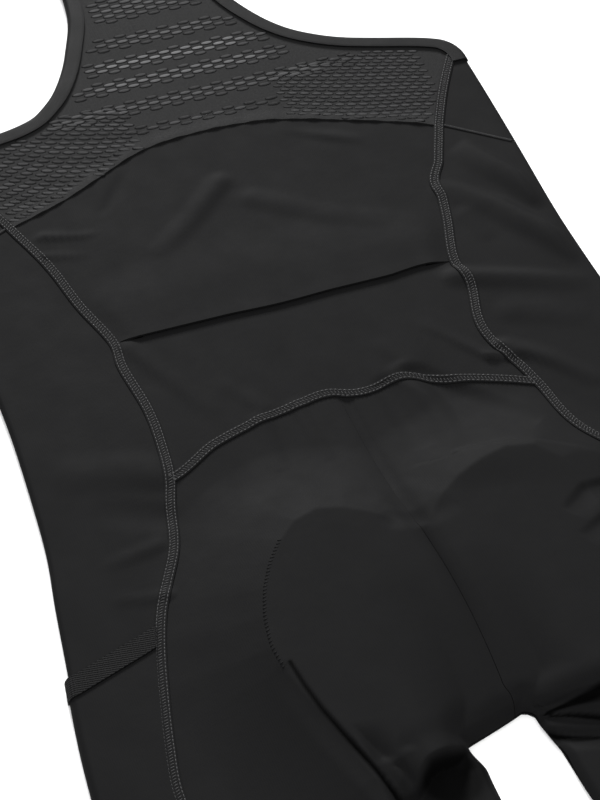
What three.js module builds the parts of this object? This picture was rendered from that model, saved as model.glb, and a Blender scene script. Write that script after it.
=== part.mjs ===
// Cycling bib shorts laid flat with the back side up. Millimetres, +Z up, rests on z = 0.
// Plan places are written from the crotch: x from the midline, y towards the shoulders.
// The finished garment is then shifted so that the origin is the middle of its plan outline.
import * as THREE from 'three';

// Driving dimensions
const WALL = 1.2;             // cloth wall
const SEAM_GAP = 0.3;         // between neighbouring pieces and between layers
const FOLD_RADIUS = 2.1;      // side folds, to the middle of the wall
const HEM_Y = -240;           // leg hems
const LEG_BAND_TOP_Y = -180;
const SHOULDER_Y = 700;       // top of the straps
const CROTCH_Y = 4;           // top edge of the gap between the legs
const CROTCH_CORNER = 3;      // corner radius of that gap
const WAIST_Y = 234;          // waist seam at the midline
const WAIST_DIP = 26;         // how far it falls towards the princess seams
const SLIT_Y = 307;           // mouth of the rear pocket
const YOKE_Y = 454;           // yoke seam at the midline
const YOKE_DIP = 40;
const YOKE_CORNER_Y = YOKE_Y - YOKE_DIP;   // where it meets the princess seams
const GUSSET_DIP = 25;        // fall of the gusset's lower seam from princess seam to side fold
const FRONT_LAP = 30;         // side panels reach this far round under the front
const LEAN = 10;              // the top lies over to the right by this much
const LEAN_FROM_Y = 310;
const LEAN_TO_Y = 520;
const THIGH_POCKET_BOTTOM_Y = -72;
const POCKET_BAND = { width: 13, wall: 2, innerY: 108, fallPerWidth: 0.36 };
const POCKET_INSET = 2;       // thigh pocket and band start this far from the princess seam
const POCKET_TURN = 0.55;     // and end at this share of the side fold
const BINDING = { width: 7, wall: 1 };
const STRAP_SPLIT_Y = 440;    // front straps join the front panels here
const PAD = { rise: 12.5, groove: 1.6, grooveReach: 9, ramp: 55, pull: 1.6 };
const MOUTH = { tongue: 24, fade: 42, side: 14 };
const PAD_STEEP = { belowY: 20, over: 28, withinX: 74, across: 12 };   // where the pad's edge is steep
// There its rise is part wall and part bevel. Near the given place it is all wall.
const PAD_WALL = { x: -40, y: -8, reach: 34, least: 0.35, width: 5, bevel: 24 };
const CROTCH_EASE = { least: 0.15, up: 90, withinX: 19, across: 24 };   // the pad thins towards the gap
const CALM = { side: 12, fromY: 425, over: 20 };   // folds die out near the side folds and the yoke
const GAP_TURN = { least: 4, perRise: 0.25 };      // how far from the leg gap the cloth turns down

const COVER_Z = WALL / 2 + 2 * FOLD_RADIUS;      // middle of the upper layer
const LAYER_STEP = WALL + SEAM_GAP;              // from one layer's middle to the next one's
const FRONT_TOP_Z = WALL;                        // upper face of the front, which lies on z = 0
const HALF_GAP = SEAM_GAP / 2;
const EDGE_Z = FRONT_TOP_Z + SEAM_GAP + WALL / 2;

const clamp = (value, low, high) => Math.min(Math.max(value, low), high);
const mix = (a, b, t) => a + (b - a) * t;
const smooth = (t) => {
  const s = clamp(t, 0, 1);
  return s * s * (3 - 2 * s);
};
const steps = (count) => Array.from({ length: count + 1 }, (_, i) => i / count);

// A smooth curve through table rows: `key` rises, `value` is read.
function throughRows(rows, key = 'y', value = 'x') {
  const last = rows.length - 1;
  const slopes = rows.map((row, i) => {
    const before = rows[Math.max(i - 1, 0)];
    const after = rows[Math.min(i + 1, last)];
    return (after[value] - before[value]) / (after[key] - before[key]);
  });
  return (at) => {
    const place = clamp(at, rows[0][key], rows[last][key]);
    let i = 0;
    while (i < last - 1 && place > rows[i + 1][key]) i += 1;
    const span = rows[i + 1][key] - rows[i][key];
    const t = (place - rows[i][key]) / span;
    const from = rows[i][value] * (1 + 2 * t) * (1 - t) ** 2 + slopes[i] * span * t * (1 - t) ** 2;
    const to = rows[i + 1][value] * (3 - 2 * t) * t ** 2 - slopes[i + 1] * span * (1 - t) * t ** 2;
    return from + to;
  };
}

// Half widths and seam places, one row for each height
const sideEdge = throughRows([
  { y: -240, x: 182 }, { y: -180, x: 188 }, { y: -120, x: 193 }, { y: -50, x: 195 }, { y: 0, x: 193 },
  { y: 29, x: 190.5 }, { y: 64, x: 186.5 }, { y: 108, x: 179.5 }, { y: 146, x: 173.5 },
  { y: 174, x: 168.5 }, { y: 200, x: 165.5 }, { y: 260, x: 161 }, { y: 300, x: 160 },
  { y: 380, x: 159.5 }, { y: 470, x: 156 },
]);
const princessSeam = throughRows([
  { y: -240, x: 158 }, { y: -120, x: 160 }, { y: 17, x: 155.5 }, { y: 45, x: 150.5 }, { y: 74, x: 143.5 },
  { y: 103, x: 135.5 }, { y: 124, x: 128 }, { y: 138, x: 121 }, { y: 160, x: 110 }, { y: 188, x: 102.5 },
  { y: 210, x: 97 }, { y: 234, x: 93 }, { y: 257, x: 92 }, { y: 290, x: 94.5 }, { y: 307, x: 93 },
  { y: 340, x: 101.5 }, { y: 373, x: 108.5 }, { y: 414, x: 122 },
]);
const gussetSeam = throughRows([
  { y: 414, x: 122 }, { y: 429, x: 128 }, { y: 445, x: 135 }, { y: 461, x: 143 }, { y: 472, x: 149 },
]);
const legInner = throughRows([
  { y: -240, x: 26 }, { y: -150, x: 23 }, { y: -50, x: 19.5 }, { y: -2, x: 19 },
]);
const armhole = {
  '-1': throughRows([
    { y: 472, x: 149 }, { y: 480, x: 143 }, { y: 485, x: 127 }, { y: 489, x: 105 }, { y: 494, x: 90 },
    { y: 499, x: 83.5 }, { y: 511, x: 72.5 }, { y: 531, x: 60.5 }, { y: 552, x: 51.5 },
    { y: 574, x: 43.5 }, { y: 598, x: 39.5 }, { y: 620, x: 38.5 }, { y: 636, x: 41 },
  ]),
  1: throughRows([
    { y: 472, x: 149 }, { y: 480, x: 149.5 }, { y: 486, x: 145 }, { y: 492, x: 131 }, { y: 498, x: 114 },
    { y: 506, x: 93.5 }, { y: 518, x: 75 }, { y: 530, x: 63.5 }, { y: 546, x: 54 },
    { y: 566, x: 46 }, { y: 598, x: 39.5 }, { y: 620, x: 38.5 }, { y: 636, x: 41 },
  ]),
};
// Straps above the neck scoop, from the scoop's corner to the shoulder fold
const STRAP_FOLD_Y = SHOULDER_Y - WALL / 2 - FOLD_RADIUS;
const STRAP_ROWS = [
  { innerX: 20, innerY: 661, outerX: 47, outerY: 650 },
  { innerX: 27, innerY: 673, outerX: 57, outerY: 664 },
  { innerX: 34, innerY: 685, outerX: 68, outerY: 680 },
  { innerX: 42, innerY: STRAP_FOLD_Y, outerX: 80, outerY: STRAP_FOLD_Y },
];
const NECK_BOTTOM_Y = 650;
const BINDING_END = 0.85;     // bindings stop at this share of the last strap row

// The largest ridges and troughs of the upper layer, from their strong end: path in plan, reach, height
const FOLDS = [
  { path: [[128, 397], [142, 371], [157, 341]], reach: 6, height: 1.7 },
  { path: [[106, 369], [131, 342], [158, 297]], reach: 7, height: 1.9 },
  { path: [[90, 297], [118, 286], [154, 270]], reach: 7, height: 1.8 },
  { path: [[96, 238], [112, 219], [128, 196]], reach: 7, height: 2 },
  { path: [[42, 232], [64, 204], [86, 176]], reach: 11, height: -2 },
  { path: [[38, 236], [42, 205], [40, 172]], reach: 9, height: 1.4 },
  { path: [[24, 230], [26, 180]], reach: 9, height: -1.3 },
  { path: [[-104, 214], [-128, 222], [-152, 228]], reach: 16, height: 1.4 },
  { path: [[-87, 302], [-76, 275], [-61, 240]], reach: 7, height: 1.1 },
  { path: [[-6, 410], [-28, 387], [-54, 364]], reach: 9, height: 1.5 },
  { path: [[8, 392], [38, 368], [74, 349]], reach: 10, height: 1 },
  { path: [[40, 443], [62, 430], [78, 420]], reach: 6, height: 1.4 },
  { path: [[112, 128], [84, 119], [70, 108]], reach: 8, height: -2.4 },
  { path: [[110, 103], [84, 97], [70, 90]], reach: 8, height: -1.8 },
  { path: [[-9, 132], [6, 129], [22, 133]], reach: 10, height: -1.5 },
  { path: [[-70, -20], [-78, 10], [-83, 30], [-89, 68]], reach: 8, height: -2.2 },
  { path: [[-64, -8], [-57, -26]], reach: 8, height: 1.4 },
  { path: [[18, -4], [32, -9], [60, -16]], reach: 8, height: 2 },
  { path: [[13, -17], [40, -25], [66, -28]], reach: 7, height: 2.4 },
];

// Half outline of the seat pad under the cloth, from the notch between its lobes to the crotch
const PAD_HALF = [
  { x: 0, y: 122 }, { x: 8, y: 130 }, { x: 18, y: 140 }, { x: 30, y: 148 }, { x: 42, y: 151 },
  { x: 54, y: 147 }, { x: 65, y: 137 }, { x: 74, y: 125 }, { x: 82, y: 110 }, { x: 88, y: 93 },
  { x: 91, y: 75 }, { x: 90, y: 62 }, { x: 87, y: 48 }, { x: 83, y: 30 }, { x: 79, y: 12 },
  { x: 74, y: -12 }, { x: 69, y: -25 }, { x: 58, y: -24 }, { x: 46, y: -12 }, { x: 28, y: -7 },
  { x: 19, y: -2 }, { x: 13, y: CROTCH_Y }, { x: 0, y: CROTCH_Y },
];
// The pad lies askew: its right lobe is pushed up and out, and its right lower edge up
const PAD_PUSH = [
  { x: 80, y: 140, reach: 50, slideX: 9, slideY: 22 },
  { x: 36, y: -8, reach: 40, slideX: 0, slideY: 13 },
];

// Places where the lying cloth has slid in plan
const SLIDES = [
  { x: 0, y: 70, reach: 90, slideX: 3.7, slideY: 0 },
  { x: 0, y: -30, reach: 60, slideX: -4, slideY: 0 },
  { x: 4, y: 4, reach: 22, slideX: 5, slideY: 7 },
  { x: 19, y: 4, reach: 24, slideX: -7.5, slideY: 3 },
  { x: -19, y: 4, reach: 20, slideX: -5, slideY: -1 },
  { x: -88, y: 434, reach: 60, slideX: 0, slideY: -9 },
  { x: 75, y: 437, reach: 50, slideX: 0, slideY: -3 },
  { x: 107, y: 372, reach: 16, slideX: -3, slideY: 0 },
  { x: 92, y: 254, reach: 38, slideX: -5, slideY: 0 },
  { x: 105, y: 176, reach: 32, slideX: -4, slideY: 0 },
  { x: 76, y: 308, reach: 22, slideX: 0, slideY: 2 },
  { x: -4, y: 307, reach: 30, slideX: 0, slideY: -1 },
];

const bump = (t) => (1 - Math.min(t, 1) ** 2) ** 2;
function pushed(x, y, pushes) {
  const moved = [x, y];
  for (const push of pushes) {
    const share = bump(Math.hypot(x - push.x, y - push.y) / push.reach);
    moved[0] += push.slideX * share;
    moved[1] += push.slideY * share;
  }
  return moved;
}

// A plan place where it lies in the end: slid with the cloth and leant over with the top
function settled(x, y) {
  const [slidX, slidY] = pushed(x, y, SLIDES);
  return [slidX + LEAN * smooth((slidY - LEAN_FROM_Y) / (LEAN_TO_Y - LEAN_FROM_Y)), slidY];
}

const padOutline = [
  [PAD_HALF[0].x, PAD_HALF[0].y],
  ...PAD_HALF.slice(1, -1).map(({ x, y }) => pushed(x, y, PAD_PUSH)),
  ...PAD_HALF.slice(1).reverse().map(({ x, y }) => [-x, y]),
];

// Distance to a path, and the share of its length at the nearest place
function nearestOnPath(path, x, y) {
  const spans = path.slice(1).map(([bx, by], i) => Math.hypot(bx - path[i][0], by - path[i][1]));
  const total = spans.reduce((sum, span) => sum + span, 0);
  const nearest = { distance: Infinity, share: 0 };
  let before = 0;
  spans.forEach((span, i) => {
    const [ax, ay] = path[i];
    const [bx, by] = path[i + 1];
    const t = clamp(((x - ax) * (bx - ax) + (y - ay) * (by - ay)) / span ** 2, 0, 1);
    const distance = Math.hypot(x - mix(ax, bx, t), y - mix(ay, by, t));
    if (distance < nearest.distance) {
      nearest.distance = distance;
      nearest.share = (before + t * span) / total;
    }
    before += span;
  });
  return nearest;
}

function isInside(outline, x, y) {
  let inside = false;
  outline.forEach(([ax, ay], i) => {
    const [bx, by] = outline[(i + 1) % outline.length];
    if ((ay > y) !== (by > y) && x < ax + ((y - ay) * (bx - ax)) / (by - ay)) inside = !inside;
  });
  return inside;
}

// Distance from the edge of the gap between the legs, whose top corners are round
function gapDistance(x, y) {
  const across = Math.abs(x) - legInner(y) + CROTCH_CORNER;
  const along = y - CROTCH_Y + CROTCH_CORNER;
  return Math.hypot(Math.max(across, 0), Math.max(along, 0)) - CROTCH_CORNER;
}

const foldHeight = (x, y) => FOLDS.reduce((sum, { path, reach, height }) => {
  const { distance, share } = nearestOnPath(path, x, y);
  return sum + height * Math.sqrt(1 - share) * bump(distance / reach);
}, 0);

// The cloth over the pad: steep along the legs, elsewhere falling slowly from the pad's edge
function padHeight(x, y) {
  const { distance } = nearestOnPath([...padOutline, padOutline[0]], x, y);
  const inside = isInside(padOutline, x, y);
  const groove = PAD.groove * (1 - smooth(Math.abs(x) / PAD.grooveReach));
  const wall = mix(PAD_WALL.least, 1, bump(Math.hypot(x - PAD_WALL.x, y - PAD_WALL.y) / PAD_WALL.reach));
  const steep = inside ? mix(smooth(distance / PAD_WALL.bevel), smooth(distance / PAD_WALL.width), wall) : 0;
  const ramped = inside ? 1 : (1 - Math.min(distance / PAD.ramp, 1)) ** PAD.pull;
  const above = Math.max(
    smooth((y - PAD_STEEP.belowY) / PAD_STEEP.over + 1),
    smooth((Math.abs(x) - PAD_STEEP.withinX) / PAD_STEEP.across + 1));
  const overGap = mix(CROTCH_EASE.least, 1, smooth((y - CROTCH_Y) / CROTCH_EASE.up));
  const ease = mix(overGap, 1, smooth((Math.abs(x) - CROTCH_EASE.withinX) / CROTCH_EASE.across));
  return (PAD.rise - groove) * ease * mix(steep, ramped, above);
}

// Middle of the upper layer over a plan place, before it settles
function coverHeight(x, y) {
  const toFold = sideEdge(y) - WALL / 2 - FOLD_RADIUS - Math.abs(x);
  const calm = smooth(toFold / CALM.side) * (1 - smooth((y - CALM.fromY) / CALM.over));
  const full = COVER_Z + foldHeight(x, y) * calm + padHeight(x, y);
  const turn = GAP_TURN.least + GAP_TURN.perRise * (full - COVER_Z);
  const near = clamp(gapDistance(x, y) / turn, 0, 1);
  return EDGE_Z + (full - EDGE_Z) * Math.sqrt(1 - (1 - near) ** 2);
}

// A point of the upper layer with the way its outer face looks
function onCover(x, y) {
  const step = 0.5;
  const slopeX = (coverHeight(x + step, y) - coverHeight(x - step, y)) / (2 * step);
  const slopeY = (coverHeight(x, y + step) - coverHeight(x, y - step)) / (2 * step);
  return {
    point: new THREE.Vector3(x, y, coverHeight(x, y)),
    out: new THREE.Vector3(-slopeX, -slopeY, 1).normalize(),
  };
}

// The same round a side fold: turn 0 is the upper layer's end, turn 1 the lower layer's
function onSideFold(side, y, turn) {
  const angle = Math.PI * (0.5 - turn);
  const out = new THREE.Vector3(side * Math.cos(angle), 0, Math.sin(angle));
  const centreX = side * (sideEdge(y) - WALL / 2 - FOLD_RADIUS);
  const centre = new THREE.Vector3(centreX, y, WALL / 2 + FOLD_RADIUS);
  return { point: centre.addScaledVector(out, FOLD_RADIUS), out };
}

const onUnderside = (x, y) => ({
  point: new THREE.Vector3(x, y, WALL / 2),
  out: new THREE.Vector3(0, 0, -1),
});

// A closed wall over a grid of places. Cells with a missing corner are left out.
function wallOver(grid, { wall = WALL, lift = 0, closed = false, flip = false } = {}) {
  const positions = [];
  const numberOf = new Map();
  const key = (row, column) => row * 10000 + column;
  grid.forEach((row, r) => row.forEach((place, c) => {
    if (!place) return;
    numberOf.set(key(r, c), positions.length / 6);
    for (const height of [lift + wall / 2, lift - wall / 2]) {
      const at = place.point.clone().addScaledVector(place.out, height);
      positions.push(...settled(at.x, at.y), at.z);
    }
  }));
  const triangles = [];
  const edges = new Map();
  const face = (a, b, c, d) => triangles.push(a, b, c, a, c, d);
  const columns = grid[0].length;
  for (let r = 0; r < grid.length - 1; r += 1) {
    for (let c = 0; c < (closed ? columns : columns - 1); c += 1) {
      const next = (c + 1) % columns;
      let corners = [key(r, c), key(r, next), key(r + 1, next), key(r + 1, c)];
      corners = corners.map((corner) => numberOf.get(corner));
      if (corners.some((corner) => corner === undefined)) continue;
      if (flip) corners = corners.reverse();
      face(...corners.map((corner) => corner * 2));
      const [first, ...others] = corners.map((corner) => corner * 2 + 1);
      face(first, ...others.reverse());
      corners.forEach((corner, i) => {
        const following = corners[(i + 1) % 4];
        edges.set(`${corner} ${following}`, [corner, following]);
      });
    }
  }
  for (const [from, to] of edges.values()) {
    if (!edges.has(`${to} ${from}`)) face(to * 2, from * 2, from * 2 + 1, to * 2 + 1);
  }
  const geometry = new THREE.BufferGeometry();
  geometry.setAttribute('position', new THREE.Float32BufferAttribute(positions, 3));
  geometry.setIndex(triangles);
  geometry.computeVertexNormals();
  return geometry;
}

// Back, from the waist seam to the yoke seam, in rows that bend with both. The upper panel's lower edge
// lies over the pocket panel, whose top goes on under it as a tongue, and the mouth is between them.
const BACK_COLUMNS = 14;      // the back and the yoke meet in the same places
const acrossBack = steps(BACK_COLUMNS).map((t) => 2 * t - 1);
const POCKET_STEPS = 6;
const UPPER_STEPS = 8;
function backRow(midY, dip, liftAt = () => 0) {
  const halfWidth = princessSeam(midY - dip) - HALF_GAP;
  return acrossBack.map((u) => {
    const place = onCover(u * halfWidth, midY - dip * u * u);
    place.point.addScaledVector(place.out, liftAt(halfWidth * (1 - Math.abs(u)), midY));
    return place;
  });
}
const lipLift = (toSeam, y) => (
  LAYER_STEP * smooth(toSeam / MOUTH.side) * (1 - smooth((y - SLIT_Y - MOUTH.tongue) / MOUTH.fade)));
const tongueRow = backRow(SLIT_Y + MOUTH.tongue, 0).map((place, i) => (
  Math.abs(acrossBack[i]) < 1 - MOUTH.side / princessSeam(SLIT_Y) ? place : null));
const pocketRows = steps(POCKET_STEPS).map((t) => (
  backRow(mix(WAIST_Y + HALF_GAP, SLIT_Y - HALF_GAP, t), mix(WAIST_DIP, 0, t))));
const upperRows = steps(UPPER_STEPS).map((t) => (
  backRow(mix(SLIT_Y + HALF_GAP, YOKE_Y - HALF_GAP, t), mix(0, YOKE_DIP, t), lipLift)));

// Seat and back leg: rows run from the centre seam or the leg's inner edge to the princess seam
const CROTCH_ROWS = [
  { innerX: 19, innerY: -1, outerY: -8 }, { innerX: 18.1, innerY: 3.1, outerY: 1 },
  { innerX: 13, innerY: CROTCH_Y, outerY: 8 }, { innerX: 6.5, innerY: CROTCH_Y, outerY: 14 },
  { innerX: HALF_GAP, innerY: CROTCH_Y, outerY: 21 }, { innerX: HALF_GAP, innerY: 14, outerY: 29 },
  { innerX: HALF_GAP, innerY: 26, outerY: 37 },
];
const NEAR_EDGE = [0, 1.5, 5, 10.5];
const NEAR_WIDTH = 18;        // places are close together up to here
const SEAT_COLUMNS = 8;
function seatRow(side, innerX, innerY, outerY) {
  const outerX = princessSeam(outerY) - HALF_GAP;
  const width = outerX - innerX;
  const further = steps(SEAT_COLUMNS).map((t) => mix(NEAR_WIDTH, width, t));
  return [...NEAR_EDGE, ...further].map((distance) => {
    const x = innerX + distance;
    const bend = innerY < HIP.fromY ? distance / width : (x / outerX) ** 2;
    return onCover(side * x, mix(innerY, outerY, bend));
  });
}
const LEG_TOP_Y = -14;
const LEG_ROWS = steps(7).map((t) => mix(LEG_BAND_TOP_Y + HALF_GAP, LEG_TOP_Y, t));
// Above the crotch, rows first rise a little towards the princess seam and then dip like the waist
const HIP = { fromY: 38, rise: 8, riseOver: 50, dipFromY: 46 };
const HIP_ROWS = steps(15).map((t) => mix(HIP.fromY, WAIST_Y - HALF_GAP, t));
function hipOuterY(y) {
  const rise = HIP.rise * (1 - smooth((y - HIP.fromY) / HIP.riseOver));
  return y + rise - WAIST_DIP * smooth((y - HIP.dipFromY) / (WAIST_Y - HIP.dipFromY));
}
const seatRows = (side) => [
  ...LEG_ROWS.map((y) => seatRow(side, legInner(y), y, y)),
  ...CROTCH_ROWS.map(({ innerX, innerY, outerY }) => seatRow(side, innerX, innerY, outerY)),
  ...HIP_ROWS.map((y) => seatRow(side, HALF_GAP, y, hipOuterY(y))),
];

// A row that starts on the upper layer, turns round the side fold and ends under the front
function wrappedRow(side, innerX, innerY, outerY, { across = 4, under = 1, turnTo = 1 } = {}) {
  const foldX = sideEdge(outerY) - WALL / 2 - FOLD_RADIUS;
  const over = steps(across).slice(0, -1).map((t) => (
    onCover(side * mix(innerX, foldX, t), mix(innerY, outerY, t))));
  const round = steps(4).map((t) => onSideFold(side, outerY, t * turnTo));
  const below = steps(under).slice(1).map((t) => (
    onUnderside(side * (foldX - (FRONT_LAP - WALL / 2 - FOLD_RADIUS) * t), outerY)));
  return [...over, ...round, ...(turnTo === 1 ? below : [])];
}
const SEAM_ROWS = [
  ...LEG_ROWS, ...CROTCH_ROWS.map(({ outerY }) => outerY), ...HIP_ROWS.slice(0, -1).map(hipOuterY),
  ...steps(POCKET_STEPS).map((t) => mix(WAIST_Y - WAIST_DIP, SLIT_Y, t)),
  ...steps(UPPER_STEPS).slice(1).map((t) => mix(SLIT_Y, YOKE_CORNER_Y - HALF_GAP, t)),
];
const sideRows = (side) => SEAM_ROWS.map((y) => {
  const fall = GUSSET_DIP * smooth((y - SLIT_Y) / (YOKE_CORNER_Y - SLIT_Y));
  return wrappedRow(side, princessSeam(y) + HALF_GAP, y, y - fall);
});
const GUSSET_TOP = { innerY: 472, outerY: 469.5 };
const GUSSET_STEPS = 4;
const gussetRows = (side) => steps(GUSSET_STEPS).map((t) => {
  const innerY = mix(YOKE_CORNER_Y + HALF_GAP, GUSSET_TOP.innerY, t);
  const outerY = mix(YOKE_CORNER_Y - GUSSET_DIP + HALF_GAP, GUSSET_TOP.outerY, t);
  return wrappedRow(side, gussetSeam(innerY) + HALF_GAP, innerY, outerY);
});

// Thigh pocket and its elastic band lie on the side panel
const BAND_LOW_Y = POCKET_BAND.innerY - POCKET_BAND.width / 2;
function pocketRowAt(side, y, slant) {
  const innerX = princessSeam(y) + POCKET_INSET;
  const outerY = y - slant * POCKET_BAND.fallPerWidth * (sideEdge(y) - innerX);
  return wrappedRow(side, innerX, y, outerY, { turnTo: POCKET_TURN });
}
const thighPocketRows = (side) => steps(6).map((t) => (
  pocketRowAt(side, mix(THIGH_POCKET_BOTTOM_Y, BAND_LOW_Y - SEAM_GAP, t), t)));
const bandRows = (side) => steps(2).map((t) => (
  pocketRowAt(side, BAND_LOW_Y + POCKET_BAND.width * t, 1)));

// Yoke: curved rows above its seam, level rows between the armholes, then two straps
const STRAP_COLUMNS = 4;
const LEVEL_ROWS = [472, 480, 484, 487, 490, 494, 499, 506, 516, 529, 545, 564, 586, 611, 636];
function yokeRows() {
  const seamRows = steps(GUSSET_STEPS).slice(0, -1).map((t) => {
    const outerY = mix(YOKE_CORNER_Y + HALF_GAP, GUSSET_TOP.innerY, t);
    const midY = mix(YOKE_Y + HALF_GAP, GUSSET_TOP.innerY, t);
    return acrossBack.map((u) => onCover(u * (gussetSeam(outerY) - HALF_GAP), mix(midY, outerY, u * u)));
  });
  const levelRows = LEVEL_ROWS.map((y) => (
    acrossBack.map((u) => onCover(u * (armhole[u < 0 ? -1 : 1](y) - HALF_GAP), y))));
  const strapRows = STRAP_ROWS.map((row, index) => acrossBack.map((u, i) => {
    const fromOuter = Math.min(i, BACK_COLUMNS - i) / STRAP_COLUMNS;
    if (fromOuter > 1) {
      if (index > 0) return null;
      const x = (u * row.innerX) / (1 - (2 * STRAP_COLUMNS) / BACK_COLUMNS);
      return onCover(x, NECK_BOTTOM_Y + (row.innerY - NECK_BOTTOM_Y) * (x / row.innerX) ** 2);
    }
    return onCover(
      Math.sign(u) * mix(row.outerX, row.innerX, fromOuter), mix(row.outerY, row.innerY, fromOuter));
  }));
  const top = strapRows[strapRows.length - 1];
  const shoulderRows = steps(4).slice(1).map((t) => top.map((place) => {
    if (!place) return null;
    const out = new THREE.Vector3(0, Math.sin(Math.PI * t), Math.cos(Math.PI * t));
    const centre = new THREE.Vector3(place.point.x, place.point.y, WALL / 2 + FOLD_RADIUS);
    return { point: centre.addScaledVector(out, FOLD_RADIUS), out };
  }));
  return [...seamRows, ...levelRows, ...strapRows, ...shoulderRows];
}

// A binding laid on a cloth edge: `path` follows the edge, `inward` points into the cloth
function bindingOver(path, inwardSide) {
  const section = [
    { inward: BINDING.width, drop: 0 }, { inward: 0, drop: 0 }, { inward: -1.3, drop: 0.4 },
    { inward: -1.9, drop: 1.3 }, { inward: -2, drop: 2.6 },
  ];
  const turnOut = [0, 0, 0.5, 1.2, Math.PI / 2];
  const baseZ = COVER_Z + WALL / 2 + SEAM_GAP + BINDING.wall / 2;
  const grid = path.map(([x, y], i) => {
    const [bx, by] = path[Math.max(i - 1, 0)];
    const [ax, ay] = path[Math.min(i + 1, path.length - 1)];
    const length = Math.hypot(ax - bx, ay - by);
    const normal = [(-(ay - by) / length) * inwardSide, ((ax - bx) / length) * inwardSide];
    return section.map(({ inward, drop }, k) => ({
      point: new THREE.Vector3(x + normal[0] * inward, y + normal[1] * inward, baseZ - drop),
      out: new THREE.Vector3(
        -normal[0] * Math.sin(turnOut[k]), -normal[1] * Math.sin(turnOut[k]), Math.cos(turnOut[k])),
    }));
  });
  return wallOver(grid, { wall: BINDING.wall, flip: inwardSide < 0 });
}
function endEarly(path) {
  const [before, last] = path.slice(-2);
  return [...path.slice(0, -1), before.map((value, i) => mix(value, last[i], BINDING_END))];
}
function armholePath(side) {
  const level = [LEVEL_ROWS[0] + 2, ...LEVEL_ROWS.slice(1)].map((y) => [side * armhole[side](y), y]);
  return endEarly([...level, ...STRAP_ROWS.map(({ outerX, outerY }) => [side * outerX, outerY])]);
}
function neckPath() {
  const { innerX, innerY } = STRAP_ROWS[0];
  const scoop = steps(BACK_COLUMNS - 2 * STRAP_COLUMNS).map((t) => 2 * t - 1);
  const half = endEarly(STRAP_ROWS.map((row) => [row.innerX, row.innerY])).slice(1);
  return [
    ...half.map(([x, y]) => [-x, y]).reverse(),
    ...scoop.map((u) => [u * innerX, mix(NECK_BOTTOM_Y, innerY, u * u)]),
    ...half,
  ];
}

// Flat pieces that lie on the surface
function plate(outline) {
  const shape = new THREE.Shape(outline.map(([x, y]) => new THREE.Vector2(...settled(x, y))));
  return new THREE.ExtrudeGeometry(shape, { depth: WALL, bevelEnabled: false });
}
const FRONT_SCOOP = [
  { x: 66, y: STRAP_SPLIT_Y }, { x: 68, y: 405 }, { x: 62, y: 375 }, { x: 48, y: 351 }, { x: 26, y: 335 },
  { x: HALF_GAP, y: 330 },
];
function frontOutline(side) {
  const outer = steps(24).map((t) => {
    const y = mix(LEG_BAND_TOP_Y + HALF_GAP, STRAP_SPLIT_Y - HALF_GAP, t);
    return [sideEdge(y) - FRONT_LAP - SEAM_GAP, y];
  });
  const scoop = FRONT_SCOOP.map(({ x, y }) => [x, y - HALF_GAP]);
  const crotch = CROTCH_ROWS.slice(0, 5).map(({ innerX, innerY }) => [innerX, innerY]).reverse();
  const leg = LEG_ROWS.map((y) => [legInner(y), y]).reverse();
  const outline = [...outer, ...scoop, ...crotch, ...leg].map(([x, y]) => [side * x, y]);
  return side > 0 ? outline : outline.reverse();
}
const STRAP_INNER = [
  { x: 66, y: STRAP_SPLIT_Y + HALF_GAP }, { x: 62, y: 462 }, { x: 52, y: 492 }, { x: 34, y: 530 },
  { x: 14, y: 565 }, { x: 3, y: 598 }, { x: 3, y: 622 }, { x: 14, y: 650 }, { x: 30, y: 680 },
];
const STRAP_OUTER = [
  { x: 70, y: 676 }, { x: 52, y: 650 }, { x: 37, y: 620 }, { x: 34.5, y: 598 }, { x: 38.5, y: 573 },
  { x: 46, y: 550 }, { x: 55, y: 528 }, { x: 66, y: 507 }, { x: 79, y: 494 }, { x: 99, y: 481 },
  { x: 118, y: 474 },
];
const STRAP_SIDE_Y = 469;     // top of the strap's side, under the gusset
function strapOutline(side) {
  const topY = STRAP_FOLD_Y - SEAM_GAP;
  const gussetX = (y) => sideEdge(y) - FRONT_LAP - SEAM_GAP;
  const { innerX, outerX } = STRAP_ROWS[STRAP_ROWS.length - 1];
  const outline = [
    ...STRAP_INNER.map(({ x, y }) => [x, y]), [innerX, topY], [outerX, topY],
    ...STRAP_OUTER.map(({ x, y }) => [x, y]), [gussetX(STRAP_SIDE_Y), STRAP_SIDE_Y],
    [gussetX(STRAP_SPLIT_Y), STRAP_SPLIT_Y + HALF_GAP],
  ].map(([x, y]) => [side * x, y]);
  return side > 0 ? outline.reverse() : outline;
}

// Elastic band round the end of a leg: a flattened tube
function legBandRows(side) {
  return steps(3).map((t) => {
    const y = mix(HEM_Y, LEG_BAND_TOP_Y - HALF_GAP, t);
    const outerX = sideEdge(y) - WALL / 2 - FOLD_RADIUS;
    const innerX = legInner(y) + WALL / 2 + FOLD_RADIUS;
    const ring = [];
    const arc = (centreX, from) => steps(5).forEach((s) => {
      const angle = from - Math.PI * s;
      const out = new THREE.Vector3(side * Math.cos(angle), 0, Math.sin(angle));
      const centre = new THREE.Vector3(side * centreX, y, WALL / 2 + FOLD_RADIUS);
      ring.push({ point: centre.addScaledVector(out, FOLD_RADIUS), out });
    });
    const run = (fromX, toX, z) => steps(5).slice(1, -1).forEach((s) => ring.push({
      point: new THREE.Vector3(side * mix(fromX, toX, s), y, WALL / 2 + FOLD_RADIUS + z * FOLD_RADIUS),
      out: new THREE.Vector3(0, 0, z),
    }));
    arc(outerX, Math.PI / 2);
    run(outerX, innerX, -1);
    arc(innerX, -Math.PI / 2);
    run(innerX, outerX, 1);
    return ring;
  });
}

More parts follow.
